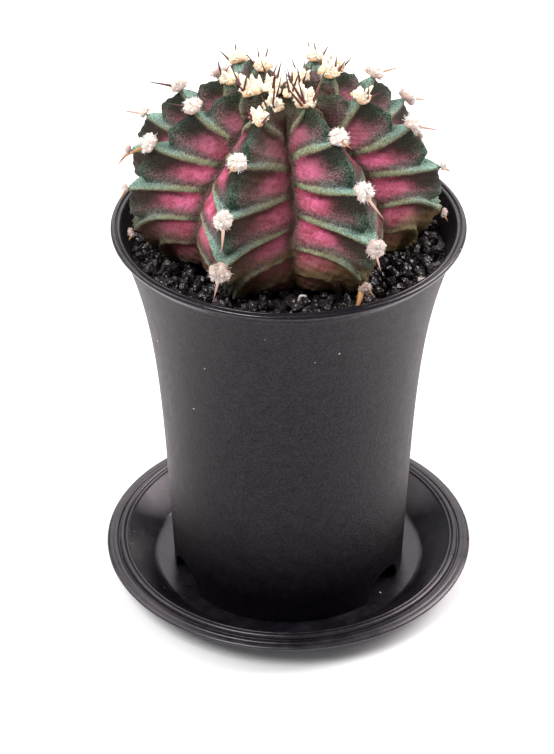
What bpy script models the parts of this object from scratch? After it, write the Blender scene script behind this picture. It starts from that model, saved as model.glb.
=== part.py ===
"""A chin cactus growing in a round plastic pot that stands on its own saucer.

The frame has its origin at the centre of the saucer's underside, +Z up, -Y to the front.
Every length below is in millimetres and is turned into metres by MM where a shape is made.
"""
from math import acos, atan2, cos, degrees, exp, floor, pi, radians, sin, sqrt

import bmesh
import bpy
from mathutils import Matrix, Vector

MM = 0.001
GAP = 0.3                 # clearance between pieces that rest on each other
ROUND_STEPS = 64          # facets round the turned pieces

# Saucer: a shallow dish with a beaded rim and an outer flange
SAUCER_RADIUS = 49.2
SAUCER_FLOOR_RADIUS = 36.0
SAUCER_FLOOR_THICKNESS = 1.5
SAUCER_WALL = 1.2
FLANGE_TOP = SAUCER_FLOOR_THICKNESS + 6.6
LIP_RADIUS = 44.0
LIP_TOP = FLANGE_TOP + 0.8

# Pot: a slim tapered body that flares to a rolled rim, on a skirt with drainage arches
FOOT_Z = SAUCER_FLOOR_THICKNESS + GAP
RIM_Z = 106.3
RIM_RADIUS = 45.0
RIM_BAND = 2.7
FOOT_RADIUS = 31.0
TAPER = 4.3
FLARE = 8.8
FLARE_POWER = 4.6
POT_WALL = 1.5
POT_FLOOR_Z = FOOT_Z + 11.0
POT_FLOOR_THICKNESS = 1.8
DRAIN_RADIUS = 7.0
ARCH_AZIMUTHS = (-64.0, 56.0, 176.0)
ARCH_HALF_WIDTH = 7.2
ARCH_HEIGHT = 7.0
ARCH_CUT_DEPTH = 12.0

# Fill: potting mix with a dressing of gravel on top
GRAVEL_TOP = RIM_Z - 5.2
MIX_TOP = RIM_Z - 11.0
MIX_DISH_ANGLE = 38.0     # how far up the underside of the stem the mix reaches, in degrees
MIX_DISH_STEPS = 6
GRAVEL_CLEARANCE = 0.7    # from the widest skin near each level
GRAVEL_WINDOW = 1.8       # how far above and below a level the skin is measured
GRAVEL_HEAP = 0.4         # the dressing is this much higher between the stem and the rim

# Stem: a flattened globe with ribs, grooves and the chins under the areoles
STEM_CENTRE = (-1.3, -0.1, 117.15)
STEM_RADIUS = 36.7
STEM_HALF_HEIGHT = 25.8
BASE_TAPER = 0.12         # how much the globe draws in below its middle
BASE_TAPER_ANGLES = (90.0, 135.0)
SHOULDER = 0.95           # below 1 the globe is squarer at its shoulders
RIB_AZIMUTHS = (-21.9, 32.0, 81.3, 121.9, 156.1, 206.0, 253.6, 286.8)
RIB_FIRST_AREOLE = (23.1, 13.6, 28.7, 18.7, 29.9, 16.0, 20.0, 11.7)
AREOLE_STEP = (23.8, 24.1, 23.3, 22.7, 24.5, 24.0, 21.4, 22.8)
# How far above its first areole each rib has a newest one, in steps; 0 where it has not opened
YOUNG_STEP = (0.58, 0.0, 0.0, 0.0, 0.58, 0.0, 0.58, 0.0)
LOWEST_AREOLE = 113.0     # polar angle of the last areole that is clear of the gravel
CROWN_GROOVE = 0.44       # groove radius as a share of the crest radius at the crown
GROOVE_GAIN = 0.60        # how much shallower the grooves are towards the base
SHALLOWEST_GROOVE = 0.86
CROWN_FILL = 0.22         # how much shallower the grooves are at the very crown
CROWN_FILL_ANGLES = (8.0, 34.0)
CREST_SHARPNESS = 1.0
CREST_ROUNDING = 0.003
RIDGE_PIVOT = 63.9        # polar angle where the cross ridges run level
RIDGE_FAN = (0.62, 0.374)     # how much they close up from crest to groove, at the crown and low down
RIDGE_FAN_ANGLES = (45.0, 80.0)
RIDGE_BOW = (0.6, 3.35)       # above 1 they are steepest beside the crest, below 1 near the groove
RIDGE_BOW_ANGLES = (45.0, 90.0)
LIP_FALL = 0.13           # share of a step over which a cross ridge falls away below its lip
FLANK_RISE = (0.10, 1.0)      # shares of a step over which the flank rises again to the next lip
FLANK_RISE_POWER = 1.3
CHIN_HEIGHT = 0.78        # the chin on the crest, as a share of the lip's height
CHIN_END = (0.55, 0.86)   # shares of a step over which the chin draws in
LEDGE_START = 0.84        # share of a step where the ledge under the next areole begins
CHIN_WIDTH = 0.27         # share of the half rib
TOOTH_HEIGHT = 1.4
TOOTH_WIDTH = 0.2         # share of the half rib
FLANK_RIDGE = 2.2
FLANK_FADE = 0.5
RIDGE_START = (-0.9, -0.1)    # steps from the first areole over which the ridges begin
RIDGE_END = (118.0, 140.0)    # polar angles over which they fade into the base
CROWN_DIP = 1.0
CROWN_DIP_ANGLE = 17.0

# Areoles: a pad of wool with its spines
PAD_RADIUS = 2.1
PAD_HEIGHT = 1.3
PAD_SEAT = 1.3            # the skin within this many pad radii carries the pad
SPINE_RADIUS = 0.42
SPINE_TIP = 0.10
# Spines as (tilt down the rib, swing across it, length), by the age of the areole
YOUNG_SPINES = ((-25.0, 0.0, 9.0), (5.0, -28.0, 8.0), (5.0, 28.0, 8.0))
GROWN_SPINES = ((38.0, 0.0, 6.8), (15.0, -60.0, 3.4), (15.0, 60.0, 3.4))
LOWEST_SPINES = ((20.0, 0.0, 2.8), (0.0, -50.0, 2.2), (0.0, 50.0, 2.2))
YOUNG_BELOW = 34.0        # polar angles that part the three ages
LOWEST_ABOVE = 100.0

RIBS = len(RIB_AZIMUTHS)
SECTOR = 360.0 / RIBS
STEM_COLUMNS = RIBS * 10
STEM_ROWS = 34


def smoothstep(low, high, value):
    """Rises from 0 at low to 1 at high with level ends."""
    x = min(max((value - low) / (high - low), 0.0), 1.0)
    return x * x * (3.0 - 2.0 * x)


def front_azimuth(azimuth, radius):
    """A point on a circle, with azimuth 0 at the front (-Y) and 90 at +X."""
    angle = radians(azimuth)
    return radius * sin(angle), -radius * cos(angle)


# ---------------------------------------------------------------- Blender helpers

def make_material(name, colour, roughness, metallic=0.0):
    material = bpy.data.materials.new(name)
    material.use_nodes = True
    shader = material.node_tree.nodes["Principled BSDF"]
    shader.inputs["Base Color"].default_value = (*colour, 1.0)
    shader.inputs["Roughness"].default_value = roughness
    shader.inputs["Metallic"].default_value = metallic
    material.diffuse_color = (*colour, 1.0)
    return material


def make_object(name, mesh, collection, material=None, parent=None):
    piece = bpy.data.objects.new(name, mesh)
    collection.objects.link(piece)
    if material is not None:
        mesh.materials.append(material)
    piece.parent = parent
    return piece


def mesh_from_bmesh(name, bm, sharp_angle=40.0):
    mesh = bpy.data.meshes.new(name)
    bm.to_mesh(mesh)
    bm.free()
    mesh.shade_smooth()
    mesh.set_sharp_from_angle(angle=radians(sharp_angle))
    return mesh


def turned(name, profile, collection, material, parent, sharp_angle=40.0):
    """Spin a profile of (radius, height) points about +Z. It starts and ends on the axis."""
    mesh = bpy.data.meshes.new(name)
    points = [(radius * MM, 0.0, height * MM) for radius, height in profile]
    mesh.from_pydata(points, [(i, i + 1) for i in range(len(points) - 1)], [])
    piece = make_object(name, mesh, collection, material, parent)
    screw = piece.modifiers.new("Turn", "SCREW")
    screw.axis = "Z"
    screw.angle = 2.0 * pi
    screw.steps = screw.render_steps = ROUND_STEPS
    screw.use_merge_vertices = True
    screw.merge_threshold = 0.00001
    screw.use_smooth_shade = True
    return piece


def arc(centre, radius, start, end, count):
    """Points on an arc of a profile, from start to end degrees, 0 pointing outward."""
    turns = [radians(start + (end - start) * i / (count - 1)) for i in range(count)]
    return [(centre[0] + radius * cos(a), centre[1] + radius * sin(a)) for a in turns]


# ---------------------------------------------------------------- saucer

def saucer_profile():
    wall_foot = (SAUCER_FLOOR_RADIUS + 0.5, SAUCER_FLOOR_THICKNESS + 0.5)
    wall_head = (LIP_RADIUS, LIP_TOP - 0.1)
    run = (wall_head[0] - wall_foot[0], wall_head[1] - wall_foot[1])
    length = sqrt(run[0] ** 2 + run[1] ** 2)
    out = (run[1] / length * SAUCER_WALL, -run[0] / length * SAUCER_WALL)
    flange_foot = FLANGE_TOP - 1.6
    share = (flange_foot - wall_foot[1] - out[1]) / run[1]
    under_flange = (wall_foot[0] + out[0] + run[0] * share + 0.3, flange_foot)
    nose = (SAUCER_RADIUS - 0.8, FLANGE_TOP - 0.8)
    return [
        (0.0, SAUCER_FLOOR_THICKNESS),
        (SAUCER_FLOOR_RADIUS - 0.6, SAUCER_FLOOR_THICKNESS),
        wall_foot,
        wall_head,
        *arc((LIP_RADIUS + 1.2, LIP_TOP - 0.7), 0.75, 120.0, 20.0, 4),
        (LIP_RADIUS + 2.4, FLANGE_TOP - 0.1),
        (LIP_RADIUS + 3.0, FLANGE_TOP),
        *arc(nose, 0.8, 90.0, -90.0, 5),
        under_flange,
        (wall_foot[0] + out[0], wall_foot[1] + out[1]),
        (SAUCER_FLOOR_RADIUS - 0.4, 0.0),
        (0.0, 0.0),
    ]


# ---------------------------------------------------------------- pot

def pot_outer(z):
    """Outer radius of the pot wall: a straight taper plus a flare that gathers at the rim."""
    share = max(0.0, (z - FOOT_Z) / (RIM_Z - FOOT_Z))
    return FOOT_RADIUS + TAPER * share + FLARE * share ** FLARE_POWER


def pot_inner(z):
    return pot_outer(z) - POT_WALL


def wall_heights(low, high, count, gather=1.6):
    """Heights from low to high that close up towards the top, where the wall curves."""
    return [high - (high - low) * (1.0 - i / (count - 1)) ** gather for i in range(count)]


def pot_profile():
    neck = RIM_Z - 3.2
    inner_top = RIM_Z - 1.4
    inner_wall = [(pot_inner(z), z) for z in wall_heights(POT_FLOOR_Z, inner_top, 7)]
    outer_wall = [(pot_outer(z), z) for z in reversed(wall_heights(FOOT_Z, neck, 8))]
    skirt_top = POT_FLOOR_Z - POT_FLOOR_THICKNESS
    return [
        (DRAIN_RADIUS, skirt_top),
        (DRAIN_RADIUS, POT_FLOOR_Z),
        *inner_wall,
        (RIM_RADIUS - RIM_BAND, RIM_Z - 0.3),
        (RIM_RADIUS - RIM_BAND + 0.3, RIM_Z),
        *arc((RIM_RADIUS - 0.9, RIM_Z - 0.9), 0.9, 90.0, -45.0, 5),
        *outer_wall,
        (pot_inner(FOOT_Z), FOOT_Z),
        (pot_inner(skirt_top), skirt_top),
        (DRAIN_RADIUS, skirt_top),
    ]


def arch_cutter(name, azimuth, collection):
    """A flattened rod along the radius, whose upper half opens an arch in the skirt."""
    bm = bmesh.new()
    bmesh.ops.create_cone(bm, cap_ends=True, segments=28, radius1=1.0, radius2=1.0, depth=1.0)
    size = (ARCH_HEIGHT * MM, ARCH_HALF_WIDTH * MM, ARCH_CUT_DEPTH * MM)
    shape = Matrix.Diagonal((*size, 1.0))
    lay = Matrix.Rotation(radians(90.0), 4, "Y")
    bm.transform(lay @ shape)
    cutter = make_object(name, mesh_from_bmesh(name, bm), collection)
    x, y = front_azimuth(azimuth, FOOT_RADIUS)
    cutter.location = (x * MM, y * MM, FOOT_Z * MM)
    cutter.rotation_euler = (0.0, 0.0, atan2(y, x))
    cutter.hide_render = True
    cutter.display_type = "WIRE"
    return cutter


def cut_arches(pot, collection):
    for number, azimuth in enumerate(ARCH_AZIMUTHS, start=1):
        cut = pot.modifiers.new(f"Arch {number}", "BOOLEAN")
        cut.operation = "DIFFERENCE"
        cut.solver = "EXACT"
        cut.object = arch_cutter(f"arch_cutter_{number}", azimuth, collection)


# ---------------------------------------------------------------- stem

def rib_place(phase):
    """Which rib a phase angle is on, how far across it (-1 to 1) and at what azimuth."""
    rib = round(phase / SECTOR) % RIBS
    across = (phase - SECTOR * round(phase / SECTOR)) / (SECTOR / 2.0)
    neighbour = (rib + (1 if across >= 0.0 else -1)) % RIBS
    step = (RIB_AZIMUTHS[neighbour] - RIB_AZIMUTHS[rib]) % 360.0
    if across < 0.0:
        step = (RIB_AZIMUTHS[rib] - RIB_AZIMUTHS[neighbour]) % 360.0
    return rib, across, RIB_AZIMUTHS[rib] + across * step / 2.0


def step_profile(turns, side):
    """Height from 0 to 1 at a share of the step below the last lip.

    On the flank the lip falls away quickly and rises again slowly to the next one. On the crest the chin
    stays out below the lip, draws in, and the ledge of the next areole steps out again.
    """
    share = turns - floor(turns)
    fall = 1.0 - smoothstep(0.0, LIP_FALL, share)
    flank = fall + smoothstep(*FLANK_RISE, share) ** FLANK_RISE_POWER
    chin = CHIN_HEIGHT * (1.0 - smoothstep(*CHIN_END, share)) + (1.0 - CHIN_HEIGHT) * fall
    chin += smoothstep(LEDGE_START, 1.0, share)
    return flank + (chin - flank) * exp(-(side / CHIN_WIDTH) ** 2)


def stem_point(phase, polar):
    """A point of the skin, for a phase round the ribs and a polar angle from the crown."""
    rib, across, azimuth = rib_place(phase)
    side = abs(across)
    tilt = radians(polar)
    groove = min(CROWN_GROOVE + GROOVE_GAIN * (1.0 - cos(tilt)) / 2.0, SHALLOWEST_GROOVE)
    groove += CROWN_FILL * (1.0 - smoothstep(*CROWN_FILL_ANGLES, polar))
    hollow = (1.0 - groove) * (sqrt(side ** 2 + CREST_ROUNDING) ** CREST_SHARPNESS)
    waist = 1.0 - BASE_TAPER * smoothstep(*BASE_TAPER_ANGLES, polar)
    radius = STEM_RADIUS * waist * max(sin(tilt), 0.0) ** SHOULDER * (1.0 - hollow)

    bow = RIDGE_BOW[0] + (RIDGE_BOW[1] - RIDGE_BOW[0]) * smoothstep(*RIDGE_BOW_ANGLES, polar)
    fan = RIDGE_FAN[0] + (RIDGE_FAN[1] - RIDGE_FAN[0]) * smoothstep(*RIDGE_FAN_ANGLES, polar)
    slide = 1.0 - (1.0 - side) ** bow
    crest_polar = (polar - fan * RIDGE_PIVOT * slide) / (1.0 - fan * slide)
    turns = (crest_polar - RIB_FIRST_AREOLE[rib]) / AREOLE_STEP[rib]
    fade = smoothstep(*RIDGE_START, turns) * (1.0 - smoothstep(*RIDGE_END, polar))
    tooth = TOOTH_HEIGHT * exp(-(side / TOOTH_WIDTH) ** 2)
    height = FLANK_RIDGE * (1.0 - side) ** FLANK_FADE + tooth
    lift = fade * height * step_profile(turns, side)

    normal_out = sin(tilt) / STEM_RADIUS
    normal_up = cos(tilt) / STEM_HALF_HEIGHT
    length = sqrt(normal_out ** 2 + normal_up ** 2)
    radius += lift * normal_out / length
    x, y = front_azimuth(azimuth, radius)
    dip = CROWN_DIP * exp(-(polar / CROWN_DIP_ANGLE) ** 2)
    z = STEM_HALF_HEIGHT * cos(tilt) + lift * normal_up / length - dip
    return Vector((x + STEM_CENTRE[0], y + STEM_CENTRE[1], z + STEM_CENTRE[2])) * MM


def stem_mesh():
    """A round sphere whose vertices are moved to the ribbed skin."""
    bm = bmesh.new()
    bmesh.ops.create_uvsphere(bm, u_segments=STEM_COLUMNS, v_segments=STEM_ROWS, radius=1.0)
    for vertex in bm.verts:
        phase = degrees(atan2(vertex.co.y, vertex.co.x)) % 360.0
        polar = degrees(acos(min(max(vertex.co.z, -1.0), 1.0)))
        vertex.co = stem_point(round(phase, 4), polar)
    bmesh.ops.triangulate(bm, faces=bm.faces)
    return mesh_from_bmesh("stem", bm, sharp_angle=70.0)


# ---------------------------------------------------------------- fill

def mix_profile():
    """Potting mix: fills the pot from its floor and is dished for the base of the stem."""
    low = POT_FLOOR_Z + GAP
    room = sqrt(STEM_CENTRE[0] ** 2 + STEM_CENTRE[1] ** 2) + 2.0 * GAP
    wall = [(pot_inner(z) - GAP, z) for z in reversed(wall_heights(low, MIX_TOP, 6))]
    bed = []
    for i in range(MIX_DISH_STEPS + 1):
        tilt = radians(180.0 - MIX_DISH_ANGLE * i / MIX_DISH_STEPS)
        radius = STEM_RADIUS * sin(tilt) ** SHOULDER + room if i else 0.0
        bed.append((radius, STEM_CENTRE[2] + STEM_HALF_HEIGHT * cos(tilt) - 2.0 * GAP))
    bed = [point for point in bed if point[1] < MIX_TOP - 0.2]
    shoulder = bed[-1][0] + 1.5
    return [*bed, (shoulder, MIX_TOP), *wall, (0.0, low)]


def gravel_mesh(stem):
    """The dressing: a ring that closes round the ribs on its inside and fills the pot outside."""
    columns = STEM_COLUMNS
    low = MIX_TOP + GAP
    heights = [low, (low + GRAVEL_TOP) / 2.0, GRAVEL_TOP]
    rings = []
    for height in heights:
        skin = stem_section_radii(stem, columns, height - GRAVEL_WINDOW, height + GRAVEL_WINDOW)
        rings.append([(skin[c] + GRAVEL_CLEARANCE, height) for c in range(columns)])
    heap = GRAVEL_TOP + GRAVEL_HEAP
    rings.append([((skin[c] + pot_inner(GRAVEL_TOP)) / 2.0, heap) for c in range(columns)])
    for height in reversed(heights):
        rings.append([(pot_inner(height) - GAP, height) for c in range(columns)])
    bm = bmesh.new()
    grid = []
    for ring in rings:
        row = []
        for column, (radius, height) in enumerate(ring):
            x, y = front_azimuth(360.0 * column / columns, radius)
            row.append(bm.verts.new((x * MM, y * MM, height * MM)))
        grid.append(row)
    for i, row in enumerate(grid):
        following = grid[(i + 1) % len(grid)]
        for c in range(columns):
            d = (c + 1) % columns
            bm.faces.new((row[c], row[d], following[d], following[c]))
    bmesh.ops.recalc_face_normals(bm, faces=bm.faces)
    bmesh.ops.triangulate(bm, faces=bm.faces)
    return mesh_from_bmesh("gravel", bm, sharp_angle=60.0)


def stem_section_radii(stem, columns, low, high):
    """The widest the skin gets between two heights, in each direction round the pot's axis."""
    widest = [0.0] * columns
    for vertex in stem.vertices:
        height = vertex.co.z / MM
        if low <= height <= high:
            x, y = vertex.co.x / MM, vertex.co.y / MM
            column = degrees(atan2(x, -y)) % 360.0 / 360.0 * columns
            reach = sqrt(x * x + y * y)
            for near in range(2):
                c = (int(column) + near) % columns
                widest[c] = max(widest[c], reach)
    return widest


# ---------------------------------------------------------------- areoles

def shrink_face(face, centre, radius):
    """Pull a face's corners in to a ring of the given radius about a centre."""
    middle = face.calc_center_median()
    for vertex in face.verts:
        vertex.co = centre + (vertex.co - middle).normalized() * radius


def grow_spine(bm, middle, direction, length):
    """Draw a tapered spine out of the face of the pad that looks most nearly along it."""
    face = max(bm.faces, key=lambda f: (f.calc_center_median() - middle).normalized() @ direction)
    root = face.calc_center_median()
    collar = bmesh.ops.extrude_discrete_faces(bm, faces=[face])["faces"][0]
    shrink_face(collar, root + direction * (GAP * MM), SPINE_RADIUS * MM)
    tip = bmesh.ops.extrude_discrete_faces(bm, faces=[collar])["faces"][0]
    shrink_face(tip, root + direction * (length * MM), SPINE_TIP * MM)


def areole_polars(rib):
    """Polar angles of a rib's areoles: evenly spaced, but crowded at the growing point."""
    first = RIB_FIRST_AREOLE[rib]
    step = AREOLE_STEP[rib]
    count = int((LOWEST_AREOLE - first) / step) + 1
    regular = [first + step * i for i in range(count)]
    youngest = first - YOUNG_STEP[rib] * step
    return [youngest, *regular] if YOUNG_STEP[rib] else regular


def areole_frame(rib, polar):
    """Place and axes of an areole: the skin's point, outward, down the rib and across it."""
    phase = rib * SECTOR
    point = stem_point(phase, polar)
    tilt = radians(polar)
    x, y = front_azimuth(RIB_AZIMUTHS[rib], sin(tilt) / STEM_RADIUS)
    outward = Vector((x, y, cos(tilt) / STEM_HALF_HEIGHT)).normalized()
    across = Vector(front_azimuth(RIB_AZIMUTHS[rib] + 90.0, 1.0)).to_3d()
    down = outward.cross(across)
    return point, outward, down, across


def spine_plan(polar):
    """The young ones near the crown stand up; the grown ones have one long spine that leans down."""
    if polar < YOUNG_BELOW:
        return YOUNG_SPINES
    return GROWN_SPINES if polar < LOWEST_ABOVE else LOWEST_SPINES


def areole_mesh(stem, rib, polar, name):
    point, outward, down, across = areole_frame(rib, polar)
    reach = PAD_RADIUS * PAD_SEAT * MM
    near = [v.co - point for v in stem.vertices if (v.co - point).length < reach]
    proud = max([0.0] + [offset.dot(outward) for offset in near])
    seat = point + outward * (proud + GAP * MM)
    turn = Matrix((across, down, outward)).transposed().to_4x4()
    pad = bmesh.new()
    bmesh.ops.create_uvsphere(pad, u_segments=7, v_segments=4, radius=1.0)
    pad.transform(Matrix.Diagonal((PAD_RADIUS * MM, PAD_RADIUS * MM, PAD_HEIGHT * MM / 2.0, 1.0)))
    middle = seat + outward * (PAD_HEIGHT * MM / 2.0)
    pad.transform(Matrix.Translation(middle) @ turn)
    for tilt, swing, length in spine_plan(polar):
        lean = Matrix.Rotation(radians(tilt), 3, across) @ Matrix.Rotation(radians(swing), 3, down)
        grow_spine(pad, middle, (lean @ outward).normalized(), length)
    bmesh.ops.triangulate(pad, faces=pad.faces)
    return mesh_from_bmesh(name, pad)


# ---------------------------------------------------------------- assembly

def build():
    for old in list(bpy.data.objects):
        bpy.data.objects.remove(old, do_unlink=True)
    parts = bpy.data.collections.new("potted_chin_cactus")
    cutters = bpy.data.collections.new("cutters")
    bpy.context.scene.collection.children.link(parts)
    bpy.context.scene.collection.children.link(cutters)
    stand = bpy.data.objects.new("stand", None)
    parts.objects.link(stand)

    plastic = make_material("pot_plastic", (0.030, 0.027, 0.034), 0.55)
    dish = make_material("saucer_plastic", (0.035, 0.032, 0.040), 0.40)
    skin = make_material("stem_skin", (0.20, 0.13, 0.12), 0.50)
    wool = make_material("areole_wool", (0.85, 0.78, 0.68), 0.90)
    stone = make_material("black_gravel", (0.025, 0.025, 0.028), 0.50)
    mix = make_material("potting_mix", (0.045, 0.030, 0.020), 0.95)

    turned("saucer", saucer_profile(), parts, dish, stand)
    pot = turned("pot", pot_profile(), parts, plastic, stand)
    cut_arches(pot, cutters)
    turned("potting_mix", mix_profile(), parts, mix, stand)

    stem = stem_mesh()
    make_object("stem", stem, parts, skin, stand)
    make_object("gravel_dressing", gravel_mesh(stem), parts, stone, stand)

    for rib in range(RIBS):
        for number, polar in enumerate(areole_polars(rib), start=1):
            name = f"areole_{rib + 1}_{number}"
            make_object(name, areole_mesh(stem, rib, polar, name), parts, wool, stand)


build()
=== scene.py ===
# %% [markdown]
# # A chin cactus in its pot
#
# The real object is a low ribbed cactus, banded in magenta and green, growing in a slim black plastic pot
# that stands on a saucer. The frame brings its CAD parts, already in place and in metres. This lesson lays
# a finished surface over each of them: turned plastic, loose gravel, banded skin, wool and spines. Every
# surface is a formula worked out with numpy over a whole grid at once, so its shape can be read from a few
# named sizes, and can be made finer or coarser without drawing it again.

# %% Load the frame
from math import cos, pi, radians, sin

import bmesh
import bpy
import numpy as np
from mathutils import Matrix, Vector


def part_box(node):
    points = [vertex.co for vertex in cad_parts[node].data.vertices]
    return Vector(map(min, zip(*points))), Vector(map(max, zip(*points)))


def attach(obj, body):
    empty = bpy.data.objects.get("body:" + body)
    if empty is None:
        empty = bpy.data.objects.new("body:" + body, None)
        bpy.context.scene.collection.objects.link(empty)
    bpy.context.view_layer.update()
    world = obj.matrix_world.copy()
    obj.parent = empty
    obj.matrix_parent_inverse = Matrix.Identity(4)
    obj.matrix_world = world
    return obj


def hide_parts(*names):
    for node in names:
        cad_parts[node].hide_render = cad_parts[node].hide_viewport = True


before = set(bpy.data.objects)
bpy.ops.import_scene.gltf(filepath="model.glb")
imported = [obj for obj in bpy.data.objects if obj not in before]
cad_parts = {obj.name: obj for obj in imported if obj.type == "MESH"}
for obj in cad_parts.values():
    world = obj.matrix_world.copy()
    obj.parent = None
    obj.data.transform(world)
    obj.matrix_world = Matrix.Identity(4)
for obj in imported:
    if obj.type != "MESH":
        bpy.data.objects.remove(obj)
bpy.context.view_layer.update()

# %% [markdown]
# ## Where things are
#
# The heights and radii of the pot, the saucer and the fill are read from the boxes of the CAD nodes, so the
# new surfaces sit where the solids are. Lengths are in millimetres until the moment a mesh is made.

# %% Sizes from the CAD nodes
MM = 0.001


def node_box(name):
    """Lowest and highest corner of a CAD node, in millimetres."""
    low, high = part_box(name)
    return np.array(low) / MM, np.array(high) / MM


POT_LOW, POT_HIGH = node_box("pot")
FOOT_Z, RIM_Z, RIM_RADIUS = POT_LOW[2], POT_HIGH[2], POT_HIGH[0]
SAUCER_RADIUS = node_box("saucer")[1][0]
GRAVEL_TOP = node_box("gravel_dressing")[1][2]
print("pot", FOOT_Z, "to", RIM_Z, "mm, rim radius", round(RIM_RADIUS, 2), "gravel at", round(GRAVEL_TOP, 2))

# %% [markdown]
# ## Camera
#
# A long lens from about 70 cm away, looking down at 34 degrees. Its three axes are written straight into
# the camera's matrix: its right, its up and its back.

# %% Place the camera
LOOK_DOWN = 0.5947
CAMERA_ROLL = 0.0023
CAMERA_PLACE = (-0.00301, -0.58512, 0.45460)
forward = Vector((0.0, cos(LOOK_DOWN), -sin(LOOK_DOWN)))
level = Vector((1.0, 0.0, 0.0))
upright = Vector((0.0, sin(LOOK_DOWN), cos(LOOK_DOWN)))
right = level * cos(CAMERA_ROLL) - upright * sin(CAMERA_ROLL)
up = level * sin(CAMERA_ROLL) + upright * cos(CAMERA_ROLL)
camera = bpy.data.objects.new("camera", bpy.data.cameras.new("camera"))
camera.data.lens = 128.91
camera.data.sensor_width = 36.0
camera.data.clip_start, camera.data.clip_end = 0.01, 20.0
axes = Matrix((right, up, -forward)).transposed().to_4x4()
camera.matrix_world = Matrix.Translation(CAMERA_PLACE) @ axes
bpy.context.scene.collection.objects.link(camera)
bpy.context.scene.camera = camera
print("camera", round(Vector(CAMERA_PLACE).length, 3), "m from the origin")

# %% [markdown]
# ## Grids of points
#
# A turned part, a rib and a rod all come from one idea: points on a grid of rows and columns, joined by
# quads. The helpers here only count indices. A grid can close on itself across its columns (a round part),
# and also across its rows (a ring, such as the wall of a pot with its inside and its outside).

# %% Grid helpers
def grid_quads(rows, columns, close_rows=False):
    """Quads of a grid whose columns close on themselves; the last row joins the first if asked."""
    row = np.arange(rows if close_rows else rows - 1)[:, None]
    column = np.arange(columns)[None, :]
    after, below = (column + 1) % columns, (row + 1) % rows
    here, next_row = row * columns, below * columns
    corners = (here + column, here + after, next_row + after, next_row + column)
    return np.stack(np.broadcast_arrays(*corners), axis=-1).reshape(-1, 4)


def capped_grid(rows, columns):
    """Quads of a round grid, and the triangles that close its first and last rows to a pole each.

    The two poles are the points that come right after the grid's own.
    """
    count = rows * columns
    ring = np.arange(columns)
    after = (ring + 1) % columns
    last = count - columns
    first_end = np.stack([after, ring, np.full(columns, count)], axis=-1)
    last_end = np.stack([last + ring, last + after, np.full(columns, count + 1)], axis=-1)
    return [grid_quads(rows, columns), np.concatenate([first_end, last_end])]


def signed_volume(points, faces):
    """Sum of a . (b x c) / 6 over the triangles of each face: positive when they look outwards."""
    total = 0.0
    for block in faces:
        a = points[block[:, 0]]
        for k in range(1, block.shape[1] - 1):
            total += np.einsum("ij,ij->", a, np.cross(points[block[:, k]], points[block[:, k + 1]]))
    return total / 6.0


def make_piece(name, points, faces, materials, smooth=True, sharp=None, material_index=None):
    """A mesh object from points in millimetres and blocks of faces, turned to look outwards.

    faces is a list of index arrays, one per number of corners. The piece rides on the one body.
    """
    points = np.asarray(points, float).reshape(-1, 3)
    if signed_volume(points, faces) < 0.0:
        faces = [block[:, ::-1] for block in faces]
    mesh = bpy.data.meshes.new(name)
    mesh.from_pydata((points * MM).tolist(), [], [face for block in faces for face in block.tolist()])
    mesh.polygons.foreach_set("use_smooth", np.full(len(mesh.polygons), smooth))
    for material in materials:
        mesh.materials.append(material)
    if material_index is not None:
        mesh.polygons.foreach_set("material_index", np.asarray(material_index, dtype=np.int32))
    if sharp is not None:
        mesh.set_sharp_from_angle(angle=radians(sharp))
    piece = bpy.data.objects.new(name, mesh)
    bpy.context.scene.collection.objects.link(piece)
    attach(piece, "root")
    return piece


def add_attribute(piece, name, values):
    """One number per point that a material can read by name."""
    attribute = piece.data.attributes.new(name, "FLOAT", "POINT")
    attribute.data.foreach_set("value", np.asarray(values, dtype=np.float32).ravel())


def smoothstep(low, high, value):
    """Rises from 0 at low to 1 at high with level ends: x * x * (3 - 2 x)."""
    x = np.clip((np.asarray(value, float) - low) / (high - low), 0.0, 1.0)
    return x * x * (3.0 - 2.0 * x)


def around(azimuth, radius):
    """A point on a circle, with azimuth 0 at the front (-Y) and 90 degrees at +X."""
    turn = np.radians(azimuth)
    return np.stack([radius * np.sin(turn), -radius * np.cos(turn)], axis=-1)


print("grid of 3 rows and 4 columns:", len(grid_quads(3, 4)), "quads")

# %% [markdown]
# ## Small helpers for materials
#
# A node tree is easier to read when each node is one line that says what goes into it. `Nodes` holds a
# tree; each of its methods adds a node, gives each input either a value or another node's output, and
# returns what comes out.

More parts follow.
